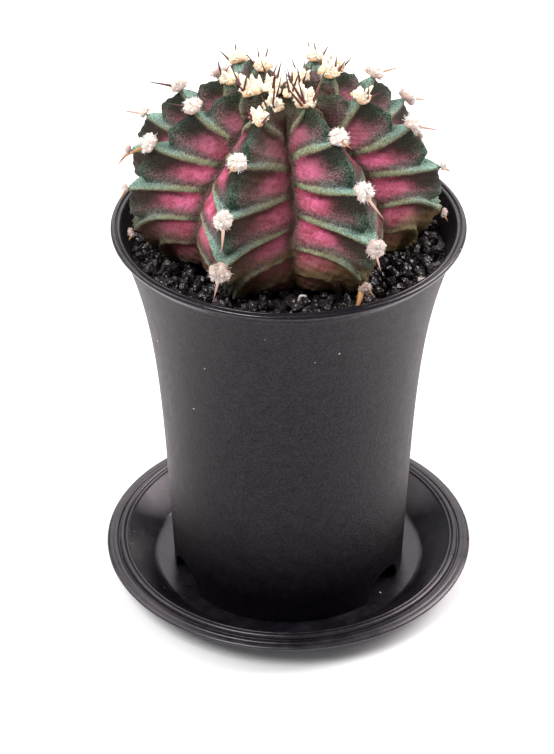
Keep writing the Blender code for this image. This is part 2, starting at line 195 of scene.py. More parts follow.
# %% Node helpers
class Nodes:
    """A tree of shader nodes that grows by one node for each call."""

    def __init__(self, tree):
        self.tree = tree

    def feed(self, node, inputs):
        """Gives each input, by its socket's name or number, a value or a link."""
        for key, value in inputs.items():
            if isinstance(value, bpy.types.NodeSocket):
                self.tree.links.new(value, node.inputs[key])
            else:
                node.inputs[key].default_value = value
        return node

    def add(self, kind, inputs=None, **settings):
        """Any node; returns all its outputs."""
        node = self.tree.nodes.new("ShaderNode" + kind)
        for key, value in settings.items():
            setattr(node, key, value)
        return self.feed(node, inputs or {}).outputs

    def mix(self, share, first, second):
        """One colour turned into another by a share from 0 to 1."""
        colours = {6: first, 7: second}
        colours = {k: (*v, 1.0) if isinstance(v, tuple) else v for k, v in colours.items()}
        return self.add("Mix", {0: share, **colours}, data_type="RGBA")[2]

    def math(self, operation, first, second, clamp=False):
        return self.add("Math", {0: first, 1: second}, operation=operation, use_clamp=clamp)[0]

    def times(self, first, second):
        return self.math("MULTIPLY", first, second)

    def stretch(self, value, low, high, to_low=0.0, to_high=1.0):
        """Maps low..high to to_low..to_high, and stops at both ends."""
        inputs = {"Value": value, "From Min": low, "From Max": high, "To Min": to_low, "To Max": to_high}
        return self.add("MapRange", inputs)["Result"]

    def noise(self, place, scale, detail=2.0):
        return self.add("TexNoise", {"Vector": place, "Scale": scale, "Detail": detail})["Fac"]

    def read(self, name):
        """The number that the mesh stores at each point under this name, or 0 where it stores none."""
        return self.add("Attribute", attribute_name=name)["Fac"]


def new_material(name):
    """A material, its nodes, its Principled shader, and the place of the surface in the object's own space."""
    material = bpy.data.materials.new(name)
    material.use_nodes = True
    nodes = Nodes(material.node_tree)
    return material, nodes, nodes.tree.nodes["Principled BSDF"], nodes.add("TexCoord")["Object"]


def finish_surface(nodes, shader, relief, depth, inputs):
    """Feeds the shader its inputs, and tilts its normal by a relief with a depth in millimetres."""
    bump = nodes.add("Bump", {"Strength": 1.0, "Distance": depth * MM, "Height": relief})
    nodes.feed(shader, {**inputs, "Normal": bump["Normal"]})


# %% [markdown]
# ## Effects that several materials share
#
# Moulded plastic, cactus skin and crushed stone all have a grain, each at its own size, and some of them
# carry a few specks of pale dust. Each effect is one node group with named inputs, built once and placed in
# every material with its own values. A group only works out values; the shader stays in the material.

# %% Grain group
def new_group(name, inputs, outputs):
    """An empty group: its nodes, what it is given, and its result.

    inputs is a list of (name, default), with a place where the default is None, and outputs a list of names.
    """
    group = bpy.data.node_groups.new(name, "ShaderNodeTree")
    for label, default in inputs:
        kind = "NodeSocketVector" if default is None else "NodeSocketFloat"
        socket = group.interface.new_socket(label, in_out="INPUT", socket_type=kind)
        if default is not None:
            socket.default_value = default
    for label in outputs:
        group.interface.new_socket(label, in_out="OUTPUT", socket_type="NodeSocketFloat")
    return Nodes(group), group.nodes.new("NodeGroupInput").outputs, group.nodes.new("NodeGroupOutput")


GRAIN, given, result = new_group("grain", [("Place", None), ("Grains per metre", 2000.0)],
                                 ["Fine", "Beads", "Patches"])
rate = given["Grains per metre"]
beads = GRAIN.add("TexVoronoi", {"Vector": given["Place"], "Scale": rate, "Randomness": 0.9})["Distance"]
GRAIN.feed(result, {"Fine": GRAIN.noise(given["Place"], rate),
                    "Beads": GRAIN.stretch(beads, 0.1, 0.6, 1.0, 0.0),
                    "Patches": GRAIN.noise(given["Place"], GRAIN.times(rate, 0.12), 3.0)})


def grain_of(nodes, place, grains):
    """The grain group in a material, at a number of grains to the metre; returns its outputs."""
    return nodes.add("Group", {"Place": place, "Grains per metre": grains}, node_tree=GRAIN.tree)


# %% Dust group
DUST, given, result = new_group(
    "dust", [("Place", None), ("Specks per metre", 150.0), ("Share", 0.1), ("Speck size", 0.1)], ["Mask"])
cells = DUST.add("TexVoronoi", {"Vector": given["Place"], "Scale": given["Specks per metre"]})
lottery = DUST.add("SeparateColor", {"Color": cells["Color"]})
chosen = DUST.math("LESS_THAN", lottery["Red"], given["Share"])
inside = DUST.math("LESS_THAN", cells["Distance"], DUST.times(given["Speck size"], lottery["Green"]))
DUST.feed(result, {"Mask": DUST.times(chosen, inside)})


def dust_of(nodes, place, specks, share, size):
    """The dust group in a material: specks to the metre, the share of them that is there, and their size."""
    inputs = {"Place": place, "Specks per metre": specks, "Share": share, "Speck size": size}
    return nodes.add("Group", inputs, node_tree=DUST.tree)["Mask"]


print("shared groups:", [group.tree.name for group in (GRAIN, DUST)])

# %% [markdown]
# ## Plastic
#
# The pot is matt: a satin black plastic with a slight purple cast, moulded against a sand-blasted tool, so
# its surface is a fine even grain that scatters the reflections of the room into soft greys. The saucer is
# the same plastic from a polished tool and keeps a clearer shine. One function makes both, with different
# sizes for the grain and the shine.

# %% Plastic materials
def plastic(name, colour, roughness, gloss, grain_height, grains, sand, pit_depth, haze):
    """Black moulded plastic: grain in its relief and its shine, slow patches of wear, and a few dust specks.

    Where the mesh carries a "polish" of 1, as on the rim, the grain fades and the shine clears. Where it has
    a "foot" of 1, as low on the pot, the shine and the sheen are mostly gone as painted shade, and so are the
    dust specks. Sand is how much paler the worn grains are, pit depth is how much the pits take from the
    shine, and haze is a film of fine warm dust that shows along the edges. The strength of the shine is
    worked out in the material itself, not in a group.
    """
    material, nodes, shader, place = new_material(name)
    polish, foot = nodes.read("polish"), nodes.read("foot")
    grain = grain_of(nodes, place, grains)
    fine, patches = grain["Fine"], grain["Patches"]
    # Dust specks and the sheen stay above the foot; taking the sheen away there is painted shade
    dust_and_sheen_above_foot = nodes.math("SUBTRACT", 1.0, foot)
    specks = nodes.times(dust_of(nodes, place, 330.0, 0.10, 0.10), nodes.math("GREATER_THAN", dust_and_sheen_above_foot, 0.5))
    toned = nodes.mix(nodes.stretch(patches, 0.35, 0.68), tuple(v * 0.55 for v in colour), colour)
    sanded = nodes.times(nodes.stretch(fine, 0.50, 0.64), nodes.stretch(patches, 0.36, 0.64, 0.25, 1.0))
    toned = nodes.mix(sanded, toned, tuple(v * sand for v in colour))
    toned = nodes.mix(polish, toned, (0.0045, 0.0038, 0.0068))
    shine = nodes.math("ADD", nodes.stretch(patches, 0.3, 0.7, -0.05, 0.06), roughness)
    shine = nodes.math("SUBTRACT", shine, nodes.times(polish, roughness - 0.20))
    pits, wear = nodes.noise(place, grains * 0.62), nodes.noise(place, grains * 0.12, 3.0)
    speckle = nodes.stretch(pits, 0.38, 0.60, 1.0 - pit_depth, 1.0)
    speckle = nodes.times(speckle, nodes.stretch(wear, 0.34, 0.66, 0.88, 1.12))
    # Painted shade: the shine is cut to 15 % at the foot of the pot
    shine_left_by_foot_shade = nodes.math("SUBTRACT", 1.0, nodes.times(foot, 0.85))
    relief = nodes.math("ADD", fine, nodes.times(specks, 1.5))
    matt = nodes.math("SUBTRACT", 1.0, nodes.times(polish, 0.85))
    finish_surface(nodes, shader, nodes.times(relief, matt), grain_height, {
        "Base Color": nodes.mix(specks, toned, (0.50, 0.49, 0.48)),
        "Roughness": shine,
        "Specular IOR Level": nodes.times(nodes.times(speckle, shine_left_by_foot_shade), gloss),
        "Specular Tint": (0.99, 0.89, 1.0, 1.0),
        "Coat Weight": nodes.times(polish, 0.35),
        "Coat Roughness": 0.07,
        "Sheen Weight": nodes.times(dust_and_sheen_above_foot, haze) if haze > 0.0 else 0.0,
        "Sheen Roughness": 0.45,
        "Sheen Tint": (1.0, 0.84, 0.76, 1.0)})
    return material


POT_PLASTIC = plastic("pot_plastic_satin", (0.0034, 0.0024, 0.0042), roughness=0.48, gloss=0.31,
                      grain_height=0.18, grains=3000.0, sand=2.0, pit_depth=0.46, haze=0.050)
SAUCER_PLASTIC = plastic("saucer_plastic_sheen", (0.0056, 0.0050, 0.0072), roughness=0.30, gloss=0.53,
                         grain_height=0.006, grains=1900.0, sand=2.5, pit_depth=0.06, haze=0.0)
print("plastics:", POT_PLASTIC.name, SAUCER_PLASTIC.name)

# %% [markdown]
# ## The saucer
#
# On the real one a shallow dish rises to a beaded lip, with an outer flange to lift it by. It could be
# modelled as a spun profile with a modifier. Here the profile is a list of corners whose sharpness is
# stated, and the rounding of each corner is a short curve, because the beads of the rim are what the light
# picks out.

# %% Round the corners of a profile
def rounded(corners, steps=5):
    """Replaces each inner corner C of a polyline (radius, height, rounding) by a curve.

    With A and B the points at the corner's rounding distance along its two edges, the curve is
    (1 - t)^2 A + 2 t (1 - t) C + t^2 B. The first and last corners stay as they are.
    """
    corners = np.asarray(corners, float)
    middle, before, after = corners[1:-1, :2], corners[:-2, :2], corners[2:, :2]
    back, ahead = before - middle, after - middle
    back_length = np.linalg.norm(back, axis=1, keepdims=True)
    ahead_length = np.linalg.norm(ahead, axis=1, keepdims=True)
    reach = corners[1:-1, 2:3]
    start = middle + back / back_length * np.minimum(reach, 0.49 * back_length)
    end = middle + ahead / ahead_length * np.minimum(reach, 0.49 * ahead_length)
    t = np.linspace(0.0, 1.0, steps)[None, :, None]
    curves = (1 - t) ** 2 * start[:, None] + 2 * t * (1 - t) * middle[:, None] + t ** 2 * end[:, None]
    return np.concatenate([corners[:1, :2], curves.reshape(-1, 2), corners[-1:, :2]])


def turned(profile, columns):
    """Carries a profile of (radius, height) about +Z: (r sin a, -r cos a, z) for each azimuth a."""
    azimuth = np.arange(columns) * 360.0 / columns
    flat = around(azimuth[None, :], profile[:, 0:1])
    height = np.broadcast_to(profile[:, 1:2], flat.shape[:2])[..., None]
    return np.concatenate([flat, height], axis=-1)


# %% Make the saucer
DISH_FLOOR = 1.5
DISH_RECESS = 0.45
DISH_COLUMNS = 320
R = SAUCER_RADIUS
saucer_profile = rounded([
    (0.0, DISH_FLOOR, 0.0), (R - 13.9, DISH_FLOOR, 0.5), (R - 12.7, 2.0, 0.5), (R - 5.75, 8.30, 0.3),
    (R - 5.45, 8.78, 0.25), (R - 5.05, 8.78, 0.2), (R - 4.85, 8.35, 0.12), (R - 4.6, 8.75, 0.2),
    (R - 4.1, 9.0, 0.35), (R - 3.6, 8.72, 0.3), (R - 3.3, 7.75, 0.15), (R - 2.95, 7.8, 0.12),
    (R - 2.7, 8.22, 0.2), (R - 1.75, 8.25, 0.25), (R - 1.55, 8.02, 0.12), (R - 0.8, 7.95, 0.4), (R, 7.55, 0.4),
    (R, 6.95, 0.4), (R - 0.7, 6.5, 0.3), (R - 5.1, 6.35, 0.5), (R - 11.7, 0.9, 0.8), (R - 12.9, 0.0, 0.4),
    (R - 15.0, 0.0, 0.3), (R - 15.5, DISH_RECESS, 0.3), (0.0, DISH_RECESS, 0.0)])[1:-1]
poles = [[0.0, 0.0, DISH_FLOOR], [0.0, 0.0, DISH_RECESS]]
saucer_points = np.concatenate([turned(saucer_profile, DISH_COLUMNS).reshape(-1, 3), poles])
saucer = make_piece("saucer_dish", saucer_points, capped_grid(len(saucer_profile), DISH_COLUMNS),
                    [SAUCER_PLASTIC], sharp=50.0)
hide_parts("saucer")
print("saucer", len(saucer.data.polygons), "faces")

# %% [markdown]
# ## The pot
#
# A round pot is a closed loop of profile turned about its axis: up the outside, over the rim, down the
# inside, across the floor and down inside the skirt. The three drainage arches could be cut with a Boolean.
# Instead the lower edge of the skirt is itself a function of the azimuth: it rises as a half ellipse at
# each arch, and the rows of the grid share out whatever height is left, so the arch has a clean edge with
# no cut to repair.

# %% Shape of the pot's wall
FOOT_RADIUS = 31.0
TAPER = 4.3
FLARE = 8.8
FLARE_POWER = 4.6
POT_WALL = 1.5
POT_FLOOR_Z = FOOT_Z + 11.0
SKIRT_TOP = POT_FLOOR_Z - 1.8
DRAIN_RADIUS = 7.0
ARCH_AZIMUTHS = (-64.0, 56.0, 176.0)
ARCH_HALF_WIDTH = 7.2
ARCH_HEIGHT = 7.0


def pot_outer(z):
    """Outer radius at a height: foot + taper s + flare s^4.6, with s the share of the pot's height."""
    share = np.maximum(0.0, (z - FOOT_Z) / (RIM_Z - FOOT_Z))
    return FOOT_RADIUS + TAPER * share + FLARE * share ** FLARE_POWER


def skirt_edge(azimuth):
    """Height of the lower edge: the foot, plus H sqrt(1 - (d / W)^2) within W of an arch's centre line."""
    edge = np.full_like(azimuth, FOOT_Z)
    for centre in ARCH_AZIMUTHS:
        away = (azimuth - centre + 180.0) % 360.0 - 180.0
        distance = FOOT_RADIUS * np.radians(away)
        edge = edge + ARCH_HEIGHT * np.sqrt(np.clip(1.0 - (distance / ARCH_HALF_WIDTH) ** 2, 0.0, 1.0))
    return edge


print("pot's outer radius at the foot and half-way up:", pot_outer(np.array([FOOT_Z, (FOOT_Z + RIM_Z) / 2])))

# %% Make the pot
POT_COLUMNS = 480
NECK = RIM_Z - 2.6
azimuth = np.arange(POT_COLUMNS) * 360.0 / POT_COLUMNS
edge = skirt_edge(azimuth)


def inner(z):
    """Inner radius at a height: the outer one less the wall."""
    return pot_outer(z) - POT_WALL


def wall_rows(low, high, steps, radius_at):
    """Rows of points between two heights, each of which may differ round the pot: (radius, height) arrays."""
    share = np.linspace(0.0, 1.0, steps)[:, None]
    height = np.broadcast_to(low + (high - low) * share, (steps, POT_COLUMNS))
    return np.stack([radius_at(height), height], axis=-1)


def ring_rows(profile):
    """Rows of a fixed profile, the same all round the pot."""
    return np.broadcast_to(np.asarray(profile)[:, None, :], (len(profile), POT_COLUMNS, 2))


def level_rows(radius_from, radius_to, height):
    """Rows of a flat ring from one radius to another."""
    return ring_rows(np.stack([np.linspace(radius_from, radius_to, 6), np.full(6, height)], axis=-1))


R, Z = RIM_RADIUS, RIM_Z
rim_profile = rounded([
    (pot_outer(NECK), NECK, 0.0), (R - 0.25, Z - 1.35, 0.6), (R, Z - 0.75, 0.35), (R - 0.35, Z - 0.08, 0.4),
    (R - 1.25, Z - 0.02, 0.3), (R - 1.5, Z - 0.55, 0.12), (R - 1.65, Z - 0.55, 0.1), (R - 1.85, Z - 0.15, 0.2),
    (R - 2.45, Z - 0.2, 0.25), (R - 2.7, Z - 0.6, 0.25), (R - 2.85, Z - 2.2, 0.4),
    (inner(NECK), NECK - 1.2, 0.0)])
pot_rows = np.concatenate([
    wall_rows(edge, NECK, 84, pot_outer)[:-1],
    ring_rows(rim_profile),
    wall_rows(NECK - 1.2, POT_FLOOR_Z, 40, inner)[1:],
    level_rows(inner(POT_FLOOR_Z), DRAIN_RADIUS, POT_FLOOR_Z)[1:],
    level_rows(DRAIN_RADIUS, inner(SKIRT_TOP), SKIRT_TOP),
    wall_rows(SKIRT_TOP, edge, 10, inner)[1:]])
radius, height = pot_rows[..., 0], pot_rows[..., 1]
pot = make_piece("pot_body", np.concatenate([around(azimuth, radius), height[..., None]], axis=-1),
                 [grid_quads(len(pot_rows), POT_COLUMNS, close_rows=True)],
                 [POT_PLASTIC], sharp=50.0)
add_attribute(pot, "polish", smoothstep(NECK - 0.5, NECK + 0.2, height))
# Painted shade: "foot" rises towards the bottom of the pot, where it dims the shine and sheen; it also keeps
# dust specks off
add_attribute(pot, "foot", 1.0 - smoothstep(2.0, 40.0, height))
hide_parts("pot")
print("pot", len(pot.data.polygons), "faces")

# %% [markdown]
# ## The shape of the cactus
#
# A globe cactus grows in ribs. Along the crest of each rib sit the areoles, each on a tooth with a chin of
# flesh below it, and from each areole a raised fold runs down both flanks of the rib into the groove.
# Sculpting that by hand would take days. It is periodic, though: along a rib the same step repeats from
# areole to areole, so a wave of the distance along the rib makes the folds, and a second function of the
# distance across the rib makes the rib itself. The two are added to a flattened globe.
#
# A point of the skin has a *phase* round the plant (which rib, and how far across it) and a *polar* angle
# from the crown. The ribs are not evenly spaced and the areoles start at different places on each, as on a
# real plant, so both are given per rib.

# %% Constants of the stem
STEM_CENTRE = np.array([-1.3, -0.1, 117.15])
STEM_RADIUS = 36.7
STEM_HALF_HEIGHT = 25.8
BASE_TAPER = 0.12
SHOULDER = 0.95
RIB_AZIMUTHS = np.array([-21.9, 32.0, 81.3, 121.9, 156.1, 206.0, 253.6, 286.8])
RIB_FIRST_AREOLE = np.array([23.1, 13.6, 28.7, 18.7, 29.9, 16.0, 20.0, 11.7])
AREOLE_STEP = np.array([23.8, 24.1, 23.3, 22.7, 24.5, 24.0, 21.4, 22.8])
YOUNG_STEP = np.array([0.58, 0.0, 0.0, 0.0, 0.58, 0.0, 0.58, 0.0])
LOWEST_AREOLE = 113.0
CROWN_GROOVE = 0.44
GROOVE_GAIN = 0.60
SHALLOWEST_GROOVE = 0.86
CREST_ROUNDING = 0.002
RIDGE_PIVOT = 63.9
RIDGE_FAN = (0.62, 0.374)
RIDGE_BOW = (0.6, 3.35)
CROWN_DIP = 1.0
CROWN_DIP_ANGLE = 17.0
RIBS = len(RIB_AZIMUTHS)
SECTOR = 360.0 / RIBS


# %% Where on a rib a point is
def rib_place(phase):
    """Rib number, how far across it from 0 at the crest to 1 in the groove, and the azimuth there.

    The azimuth runs evenly from a crest to half-way to the next crest.
    """
    nearest = np.round(phase / SECTOR)
    rib = nearest.astype(int) % RIBS
    across = (phase - SECTOR * nearest) / (SECTOR / 2.0)
    neighbour = np.where(across >= 0.0, rib + 1, rib - 1) % RIBS
    to_neighbour = (RIB_AZIMUTHS[neighbour] - RIB_AZIMUTHS[rib] + 180.0) % 360.0 - 180.0
    return rib, np.abs(across), np.sign(across), RIB_AZIMUTHS[rib] + np.abs(across) * to_neighbour / 2.0


def along_rib(rib, side, polar):
    """Steps from the rib's first areole, counted along the folds, and the length of a step in millimetres.

    A fold leaves the crest at the angle c and ends in the groove at p = pivot + (c - pivot)(1 - fan), so at a
    share s of the way the polar angle is turned back into c before it is divided by the step. That share is
    1 - (1 - side)^bow. Fan and bow differ between the crown and the flank, where the folds run as chevrons.
    """
    bow = RIDGE_BOW[0] + (RIDGE_BOW[1] - RIDGE_BOW[0]) * smoothstep(45.0, 90.0, polar)
    fan = RIDGE_FAN[0] + (RIDGE_FAN[1] - RIDGE_FAN[0]) * smoothstep(45.0, 80.0, polar)
    slide = 1.0 - (1.0 - side) ** bow
    crest_polar = (polar - fan * RIDGE_PIVOT * slide) / (1.0 - fan * slide)
    wander = 0.035 * side * np.sin(np.radians(polar * 6.0 + 100.0 * rib) + 4.0 * side)
    turns = (crest_polar - RIB_FIRST_AREOLE[rib]) / AREOLE_STEP[rib] + wander
    step_length = np.radians(AREOLE_STEP[rib] * (1.0 - fan * slide)) * STEM_RADIUS * (0.96 - 0.26 * side)
    return turns, step_length


# %% [markdown]
# ### The fold's own profile
#
# Cut along a rib's flank, one step is: a rounded lip, a quick fall under it into a hollow, then a long easy
# rise to the next lip. The fall is measured in millimetres, because the lip is as thick near the groove as
# at the crest even though the steps are much shorter there. That short fall is what gives each fold its
# shadow line. Along the crest itself it is the other way round: the chin bulges out right below the areole,
# draws in above the next one, and then steps out again as a ledge that carries it. The two profiles are
# blended across the rib.

# %% Height of the folds and of the whole skin
LIP_FALL = 0.95
LIP_CAP = 1.5
LIP_CAP_SHARE = 0.14
CHIN_HEIGHT = 0.78
CHIN_WIDTH = 0.27
TOOTH_HEIGHT = 1.5
TOOTH_WIDTH = 0.22
FLANK_RIDGE = 2.3
GROOVE_RIDGE = 0.45
CROWN_FILL = 0.22
GROOVE_ROUNDING = 0.0020
GROOVE_WANDER = 1.3
LUMP_HEIGHT = 0.10


def fold_profile(turns, step_length, side):
    """Height from 0 to 1 at the share f of a step below the last lip.

    Flank: (1 - c) rise(f)^1.3 + c cap + fall. Crest: the chin's plateau up to f = 0.55, gone by 0.86, and the
    ledge that rises from 0.84 to the next lip. The crest has the weight exp(-(side / width)^2).
    """
    share = turns - np.floor(turns)
    fall = np.exp(-(share * step_length / LIP_FALL) ** 2)
    cap = np.exp(-((1.0 - share) * step_length / LIP_CAP) ** 2)
    flank = (1.0 - LIP_CAP_SHARE) * smoothstep(0.10, 1.0, share) ** 1.3 + LIP_CAP_SHARE * cap + fall
    chin = CHIN_HEIGHT * (1.0 - smoothstep(0.55, 0.86, share)) + (1.0 - CHIN_HEIGHT) * fall
    chin = chin + smoothstep(0.84, 1.0, share)
    weight = np.exp(-(side / CHIN_WIDTH) ** 2)
    return flank + (chin - flank) * weight


def skin_point(phase, polar):
    """Points of the skin in millimetres, for arrays of phase and polar angle in degrees.

    The flattened globe's radius is cut by the grooves, which wind a little as they go down, and the folds lift
    the skin along the globe's normal. Near the crown the middle sinks by dip exp(-(polar / angle)^2).
    """
    rib, side, _, azimuth = rib_place(phase)
    valley = np.floor(phase / SECTOR)
    winding = np.sin(np.radians(6.5 * polar + 67.0 * valley))
    winding = winding + 0.5 * np.sin(np.radians(15.0 * polar + 131.0 * valley))
    azimuth = azimuth + GROOVE_WANDER * winding * side ** 3
    tilt = np.radians(polar)
    groove = np.minimum(CROWN_GROOVE + GROOVE_GAIN * (1.0 - np.cos(tilt)) / 2.0, SHALLOWEST_GROOVE)
    groove = groove + CROWN_FILL * (1.0 - smoothstep(8.0, 34.0, polar))
    rounded_side = 1.0 - np.sqrt((1.0 - side) ** 2 + GROOVE_ROUNDING)
    hollow = (1.0 - groove) * np.sqrt(rounded_side ** 2 + CREST_ROUNDING)
    waist = 1.0 - BASE_TAPER * smoothstep(90.0, 135.0, polar)
    radius = STEM_RADIUS * waist * np.maximum(np.sin(tilt), 0.0) ** SHOULDER * (1.0 - hollow)
    turns, step_length = along_rib(rib, side, polar)
    fade = smoothstep(-0.9, -0.1, turns) * (1.0 - smoothstep(120.0, 140.0, polar))
    height = FLANK_RIDGE * (1.0 - side) ** 0.5 + GROOVE_RIDGE
    height = height + TOOTH_HEIGHT * np.exp(-(side / TOOTH_WIDTH) ** 2)
    lump = np.sin(1.3 * phase + 0.8 * polar) + np.sin(0.9 * phase - 1.5 * polar + 2.0)
    lift = fade * (height * fold_profile(turns, step_length, side) + LUMP_HEIGHT * lump)
    normal_out, normal_up = np.sin(tilt) / STEM_RADIUS, np.cos(tilt) / STEM_HALF_HEIGHT
    length = np.hypot(normal_out, normal_up)
    flat = around(azimuth, radius + lift * normal_out / length)
    dip = CROWN_DIP * np.exp(-(polar / CROWN_DIP_ANGLE) ** 2)
    z = STEM_HALF_HEIGHT * np.cos(tilt) + lift * normal_up / length - dip
    return np.concatenate([flat, z[..., None]], axis=-1) + STEM_CENTRE


# %% [markdown]
# ## The colours of the skin
#
# The bands follow the folds, so their masks come from the same two numbers, the share of a step and the
# share across the rib. The lip of each fold is sage green, bluish towards the crest; just under it runs a
# thin dark line of painted shadow that widens into the chin below the areole, whose dark green is deepened
# to near black by painted shade. Nearer the groove the bare skin glows crimson and pink, then greys towards
# the next fold, where a waxy bloom has stayed on. Flanks that face away from the light, and the lowest band
# on flanks with little earthy stain, are darkened as painted shade. Each mask is stored on the mesh as one
# number per point, and the material mixes its colours by them.

# %% Masks of the bands
# How much painted shade darkens each flank, for the one before the crest and the one after it, as where it
# faces away from the light
FLANK_PAINTED_SHADE = np.array([[0.0, 0.80], [0.0, 0.82], [0.30, 0.35], [0.35, 0.30],
                        [0.20, 0.40], [0.30, 0.10], [0.34, 0.28], [0.24, 0.22]])
# How much of its earthy stain each flank has at the foot
FLANK_EARTH = np.array([[0.30, 0.80], [0.80, 1.00], [1.00, 1.00], [0.80, 0.80],
                        [0.80, 0.80], [0.70, 0.70], [0.50, 0.30], [0.12, 0.25]])


def band_masks(phase, polar):
    """A dictionary of masks from 0 to 1 for the points of the skin."""
    rib, side, turned, _ = rib_place(phase)
    flank = (turned > 0.0).astype(int)
    turns, step_length = along_rib(rib, side, polar)
    share = turns - np.floor(turns)
    below, above = share * step_length, (1.0 - share) * step_length
    started = smoothstep(-0.7, 0.1, turns)
    width = 0.75 + 2.1 * (1.0 - side) ** 1.4
    lip = np.maximum(1.0 - smoothstep(0.25, 0.75, below), 1.0 - smoothstep(0.35 * width, width, above))
    lip *= 1.0 - 0.6 * smoothstep(0.78, 0.96, side)
    verge = smoothstep(width - 0.7, width, above) * (1.0 - smoothstep(width + 0.4, width + 2.2, above))
    verge *= 1.0 - smoothstep(0.60, 0.95, side)
    # Painted shadow: a thin dark line just under each lip, weaker towards the groove
    shadow = smoothstep(0.3, 0.7, below) * (1.0 - smoothstep(1.0, 2.6, below))
    shadow *= 1.0 - 0.80 * smoothstep(0.45, 0.78, side)
    # The chin under each areole: its dark green deepened to near black by painted shade
    chin = smoothstep(0.4, 0.9, below) * (1.0 - smoothstep(3.6, 8.0, below))
    chin *= 1.0 - smoothstep(0.16, 0.58, side)
    glow = smoothstep(0.14, 0.46, side) * smoothstep(0.3, 0.8, below) * (1.0 - smoothstep(0.62, 1.0, share))
    veil = smoothstep(0.05, 0.18, side) * smoothstep(0.30, 0.62, share - 0.36 * smoothstep(0.30, 0.65, side))
    bloom = (1.0 - smoothstep(0.14, 0.66, side)) * (1.0 - smoothstep(0.7, 4.2, above))
    return {"lip": lip * started, "verge": verge * started, "shadow": shadow * started, "chin": chin,
            "ledge": 1.0 - smoothstep(0.08, 0.30, side), "glow": glow * smoothstep(-0.5, 0.3, turns),
            "veil": veil, "bloom": bloom * started, "groove": smoothstep(0.80, 0.97, side), "step": share,
            "earthy": FLANK_EARTH[rib, flank] * smoothstep(86.0, 109.0, polar),
            # Painted shade low on the stem, on the flanks with little earthy stain
            "painted_low_shade": (1.0 - FLANK_EARTH[rib, flank]) * smoothstep(82.0, 104.0, polar),
            "low": smoothstep(42.0, 80.0, polar), "crown": 1.0 - smoothstep(12.0, 36.0, polar),
            "fresh": 1.0 - smoothstep(34.0, 68.0, polar),
            "shade": FLANK_PAINTED_SHADE[rib, flank] * smoothstep(0.04, 0.22, side)}


# %% Skin material
def mottled(nodes, mask, noise, amount):
    """Breaks a mask's edge and leaves its middle: m + 4 m (1 - m) amount (noise - 0.5), from 0 to 1."""
    edge = nodes.times(nodes.times(mask, 4.0 * amount), nodes.math("SUBTRACT", 1.0, mask))
    shift = nodes.times(edge, nodes.math("SUBTRACT", noise, 0.5))
    return nodes.math("ADD", mask, shift, clamp=True)


SKIN, nodes, shader, place = new_material("cactus_skin")
fine = grain_of(nodes, place, 2700.0)["Fine"]
cloud, fleck = nodes.noise(place, 230.0), nodes.noise(place, 1100.0)
masks = {name: nodes.read(name) for name in band_masks(np.zeros(1), np.zeros(1))}
stipple = nodes.stretch(fine, 0.39, 0.65)

# The bare flesh, which pales up the step, and the maroon round it
deep = nodes.mix(nodes.stretch(masks["step"], 0.04, 0.34), (0.420, 0.024, 0.085), (0.640, 0.115, 0.250))
deep = nodes.mix(nodes.stretch(masks["step"], 0.45, 0.90), deep, (0.400, 0.150, 0.190))
flesh = nodes.mix(nodes.stretch(cloud, 0.34, 0.60), (0.240, 0.026, 0.044), deep)
flesh = nodes.mix(nodes.times(stipple, 0.34), flesh, (0.680, 0.270, 0.360))
flesh = nodes.mix(nodes.stretch(fleck, 0.54, 0.34, 0.0, 0.5), flesh, (0.220, 0.030, 0.050))
flesh = nodes.mix(nodes.times(masks["fresh"], 0.62), flesh, (0.190, 0.085, 0.100))
maroon = nodes.mix(stipple, (0.022, 0.009, 0.008), (0.082, 0.035, 0.033))
glow = mottled(nodes, mottled(nodes, masks["glow"], cloud, 1.6), fleck, 1.6)
colour = nodes.mix(glow, maroon, flesh)

# The coats over them, the lowest first: a mask, the noises that break its edge, a strength and a colour
# Near black for the chin: the skin's dark green with painted shade over it
black = nodes.mix(masks["low"], (0.008, 0.013, 0.008), (0.019, 0.010, 0.007))
black = nodes.mix(nodes.times(stipple, 0.26), black, (0.075, 0.065, 0.050))
dark_sage = nodes.mix(masks["bloom"], (0.175, 0.190, 0.100), (0.095, 0.170, 0.135))
pale_sage = nodes.mix(masks["bloom"], (0.335, 0.360, 0.225), (0.290, 0.430, 0.350))
COATS = (
    ("ledge", [(fleck, 1.4)], 0.90, nodes.mix(stipple, (0.011, 0.023, 0.015), (0.078, 0.130, 0.096))),
    ("veil", [(fleck, 1.8)], 0.72, nodes.mix(stipple, (0.062, 0.030, 0.030), (0.245, 0.162, 0.168))),
    ("bloom", [(fleck, 1.5)], 0.88, nodes.mix(stipple, (0.045, 0.092, 0.088), (0.270, 0.390, 0.400))),
    ("verge", [(cloud, 2.6)], 0.55, nodes.mix(stipple, (0.016, 0.028, 0.017), (0.060, 0.082, 0.052))),
    # Painted shadow under each lip
    ("shadow", [(fleck, 1.6)], 0.85, (0.018, 0.008, 0.008)),
    ("chin", [(fleck, 1.7)], 0.93, black),
    ("lip", [(fleck, 1.6), (cloud, 1.2)], 0.93, nodes.mix(stipple, dark_sage, pale_sage)),
    ("groove", [(fleck, 2.4), (cloud, 2.0)], 0.85,
     nodes.mix(stipple, (0.020, 0.018, 0.010), (0.080, 0.082, 0.055))),
    ("crown", [], 0.72, nodes.mix(stipple, (0.018, 0.022, 0.010), (0.060, 0.080, 0.045))),
    ("earthy", [(cloud, 1.6)], 0.82, nodes.mix(cloud, (0.070, 0.040, 0.018), (0.290, 0.190, 0.075))),
    # Painted shade: dark maroon low on the stem
    ("painted_low_shade", [(cloud, 1.4)], 0.85, (0.062, 0.025, 0.020)),
    # Painted shade on the flanks that face away from the light
    ("shade", [], 0.75, (0.040, 0.017, 0.012)))
for name, noises, strength, over in COATS:
    mask = masks[name]
    for noise, amount in noises:
        mask = mottled(nodes, mask, noise, amount)
    colour = nodes.mix(nodes.times(mask, strength), colour, over)
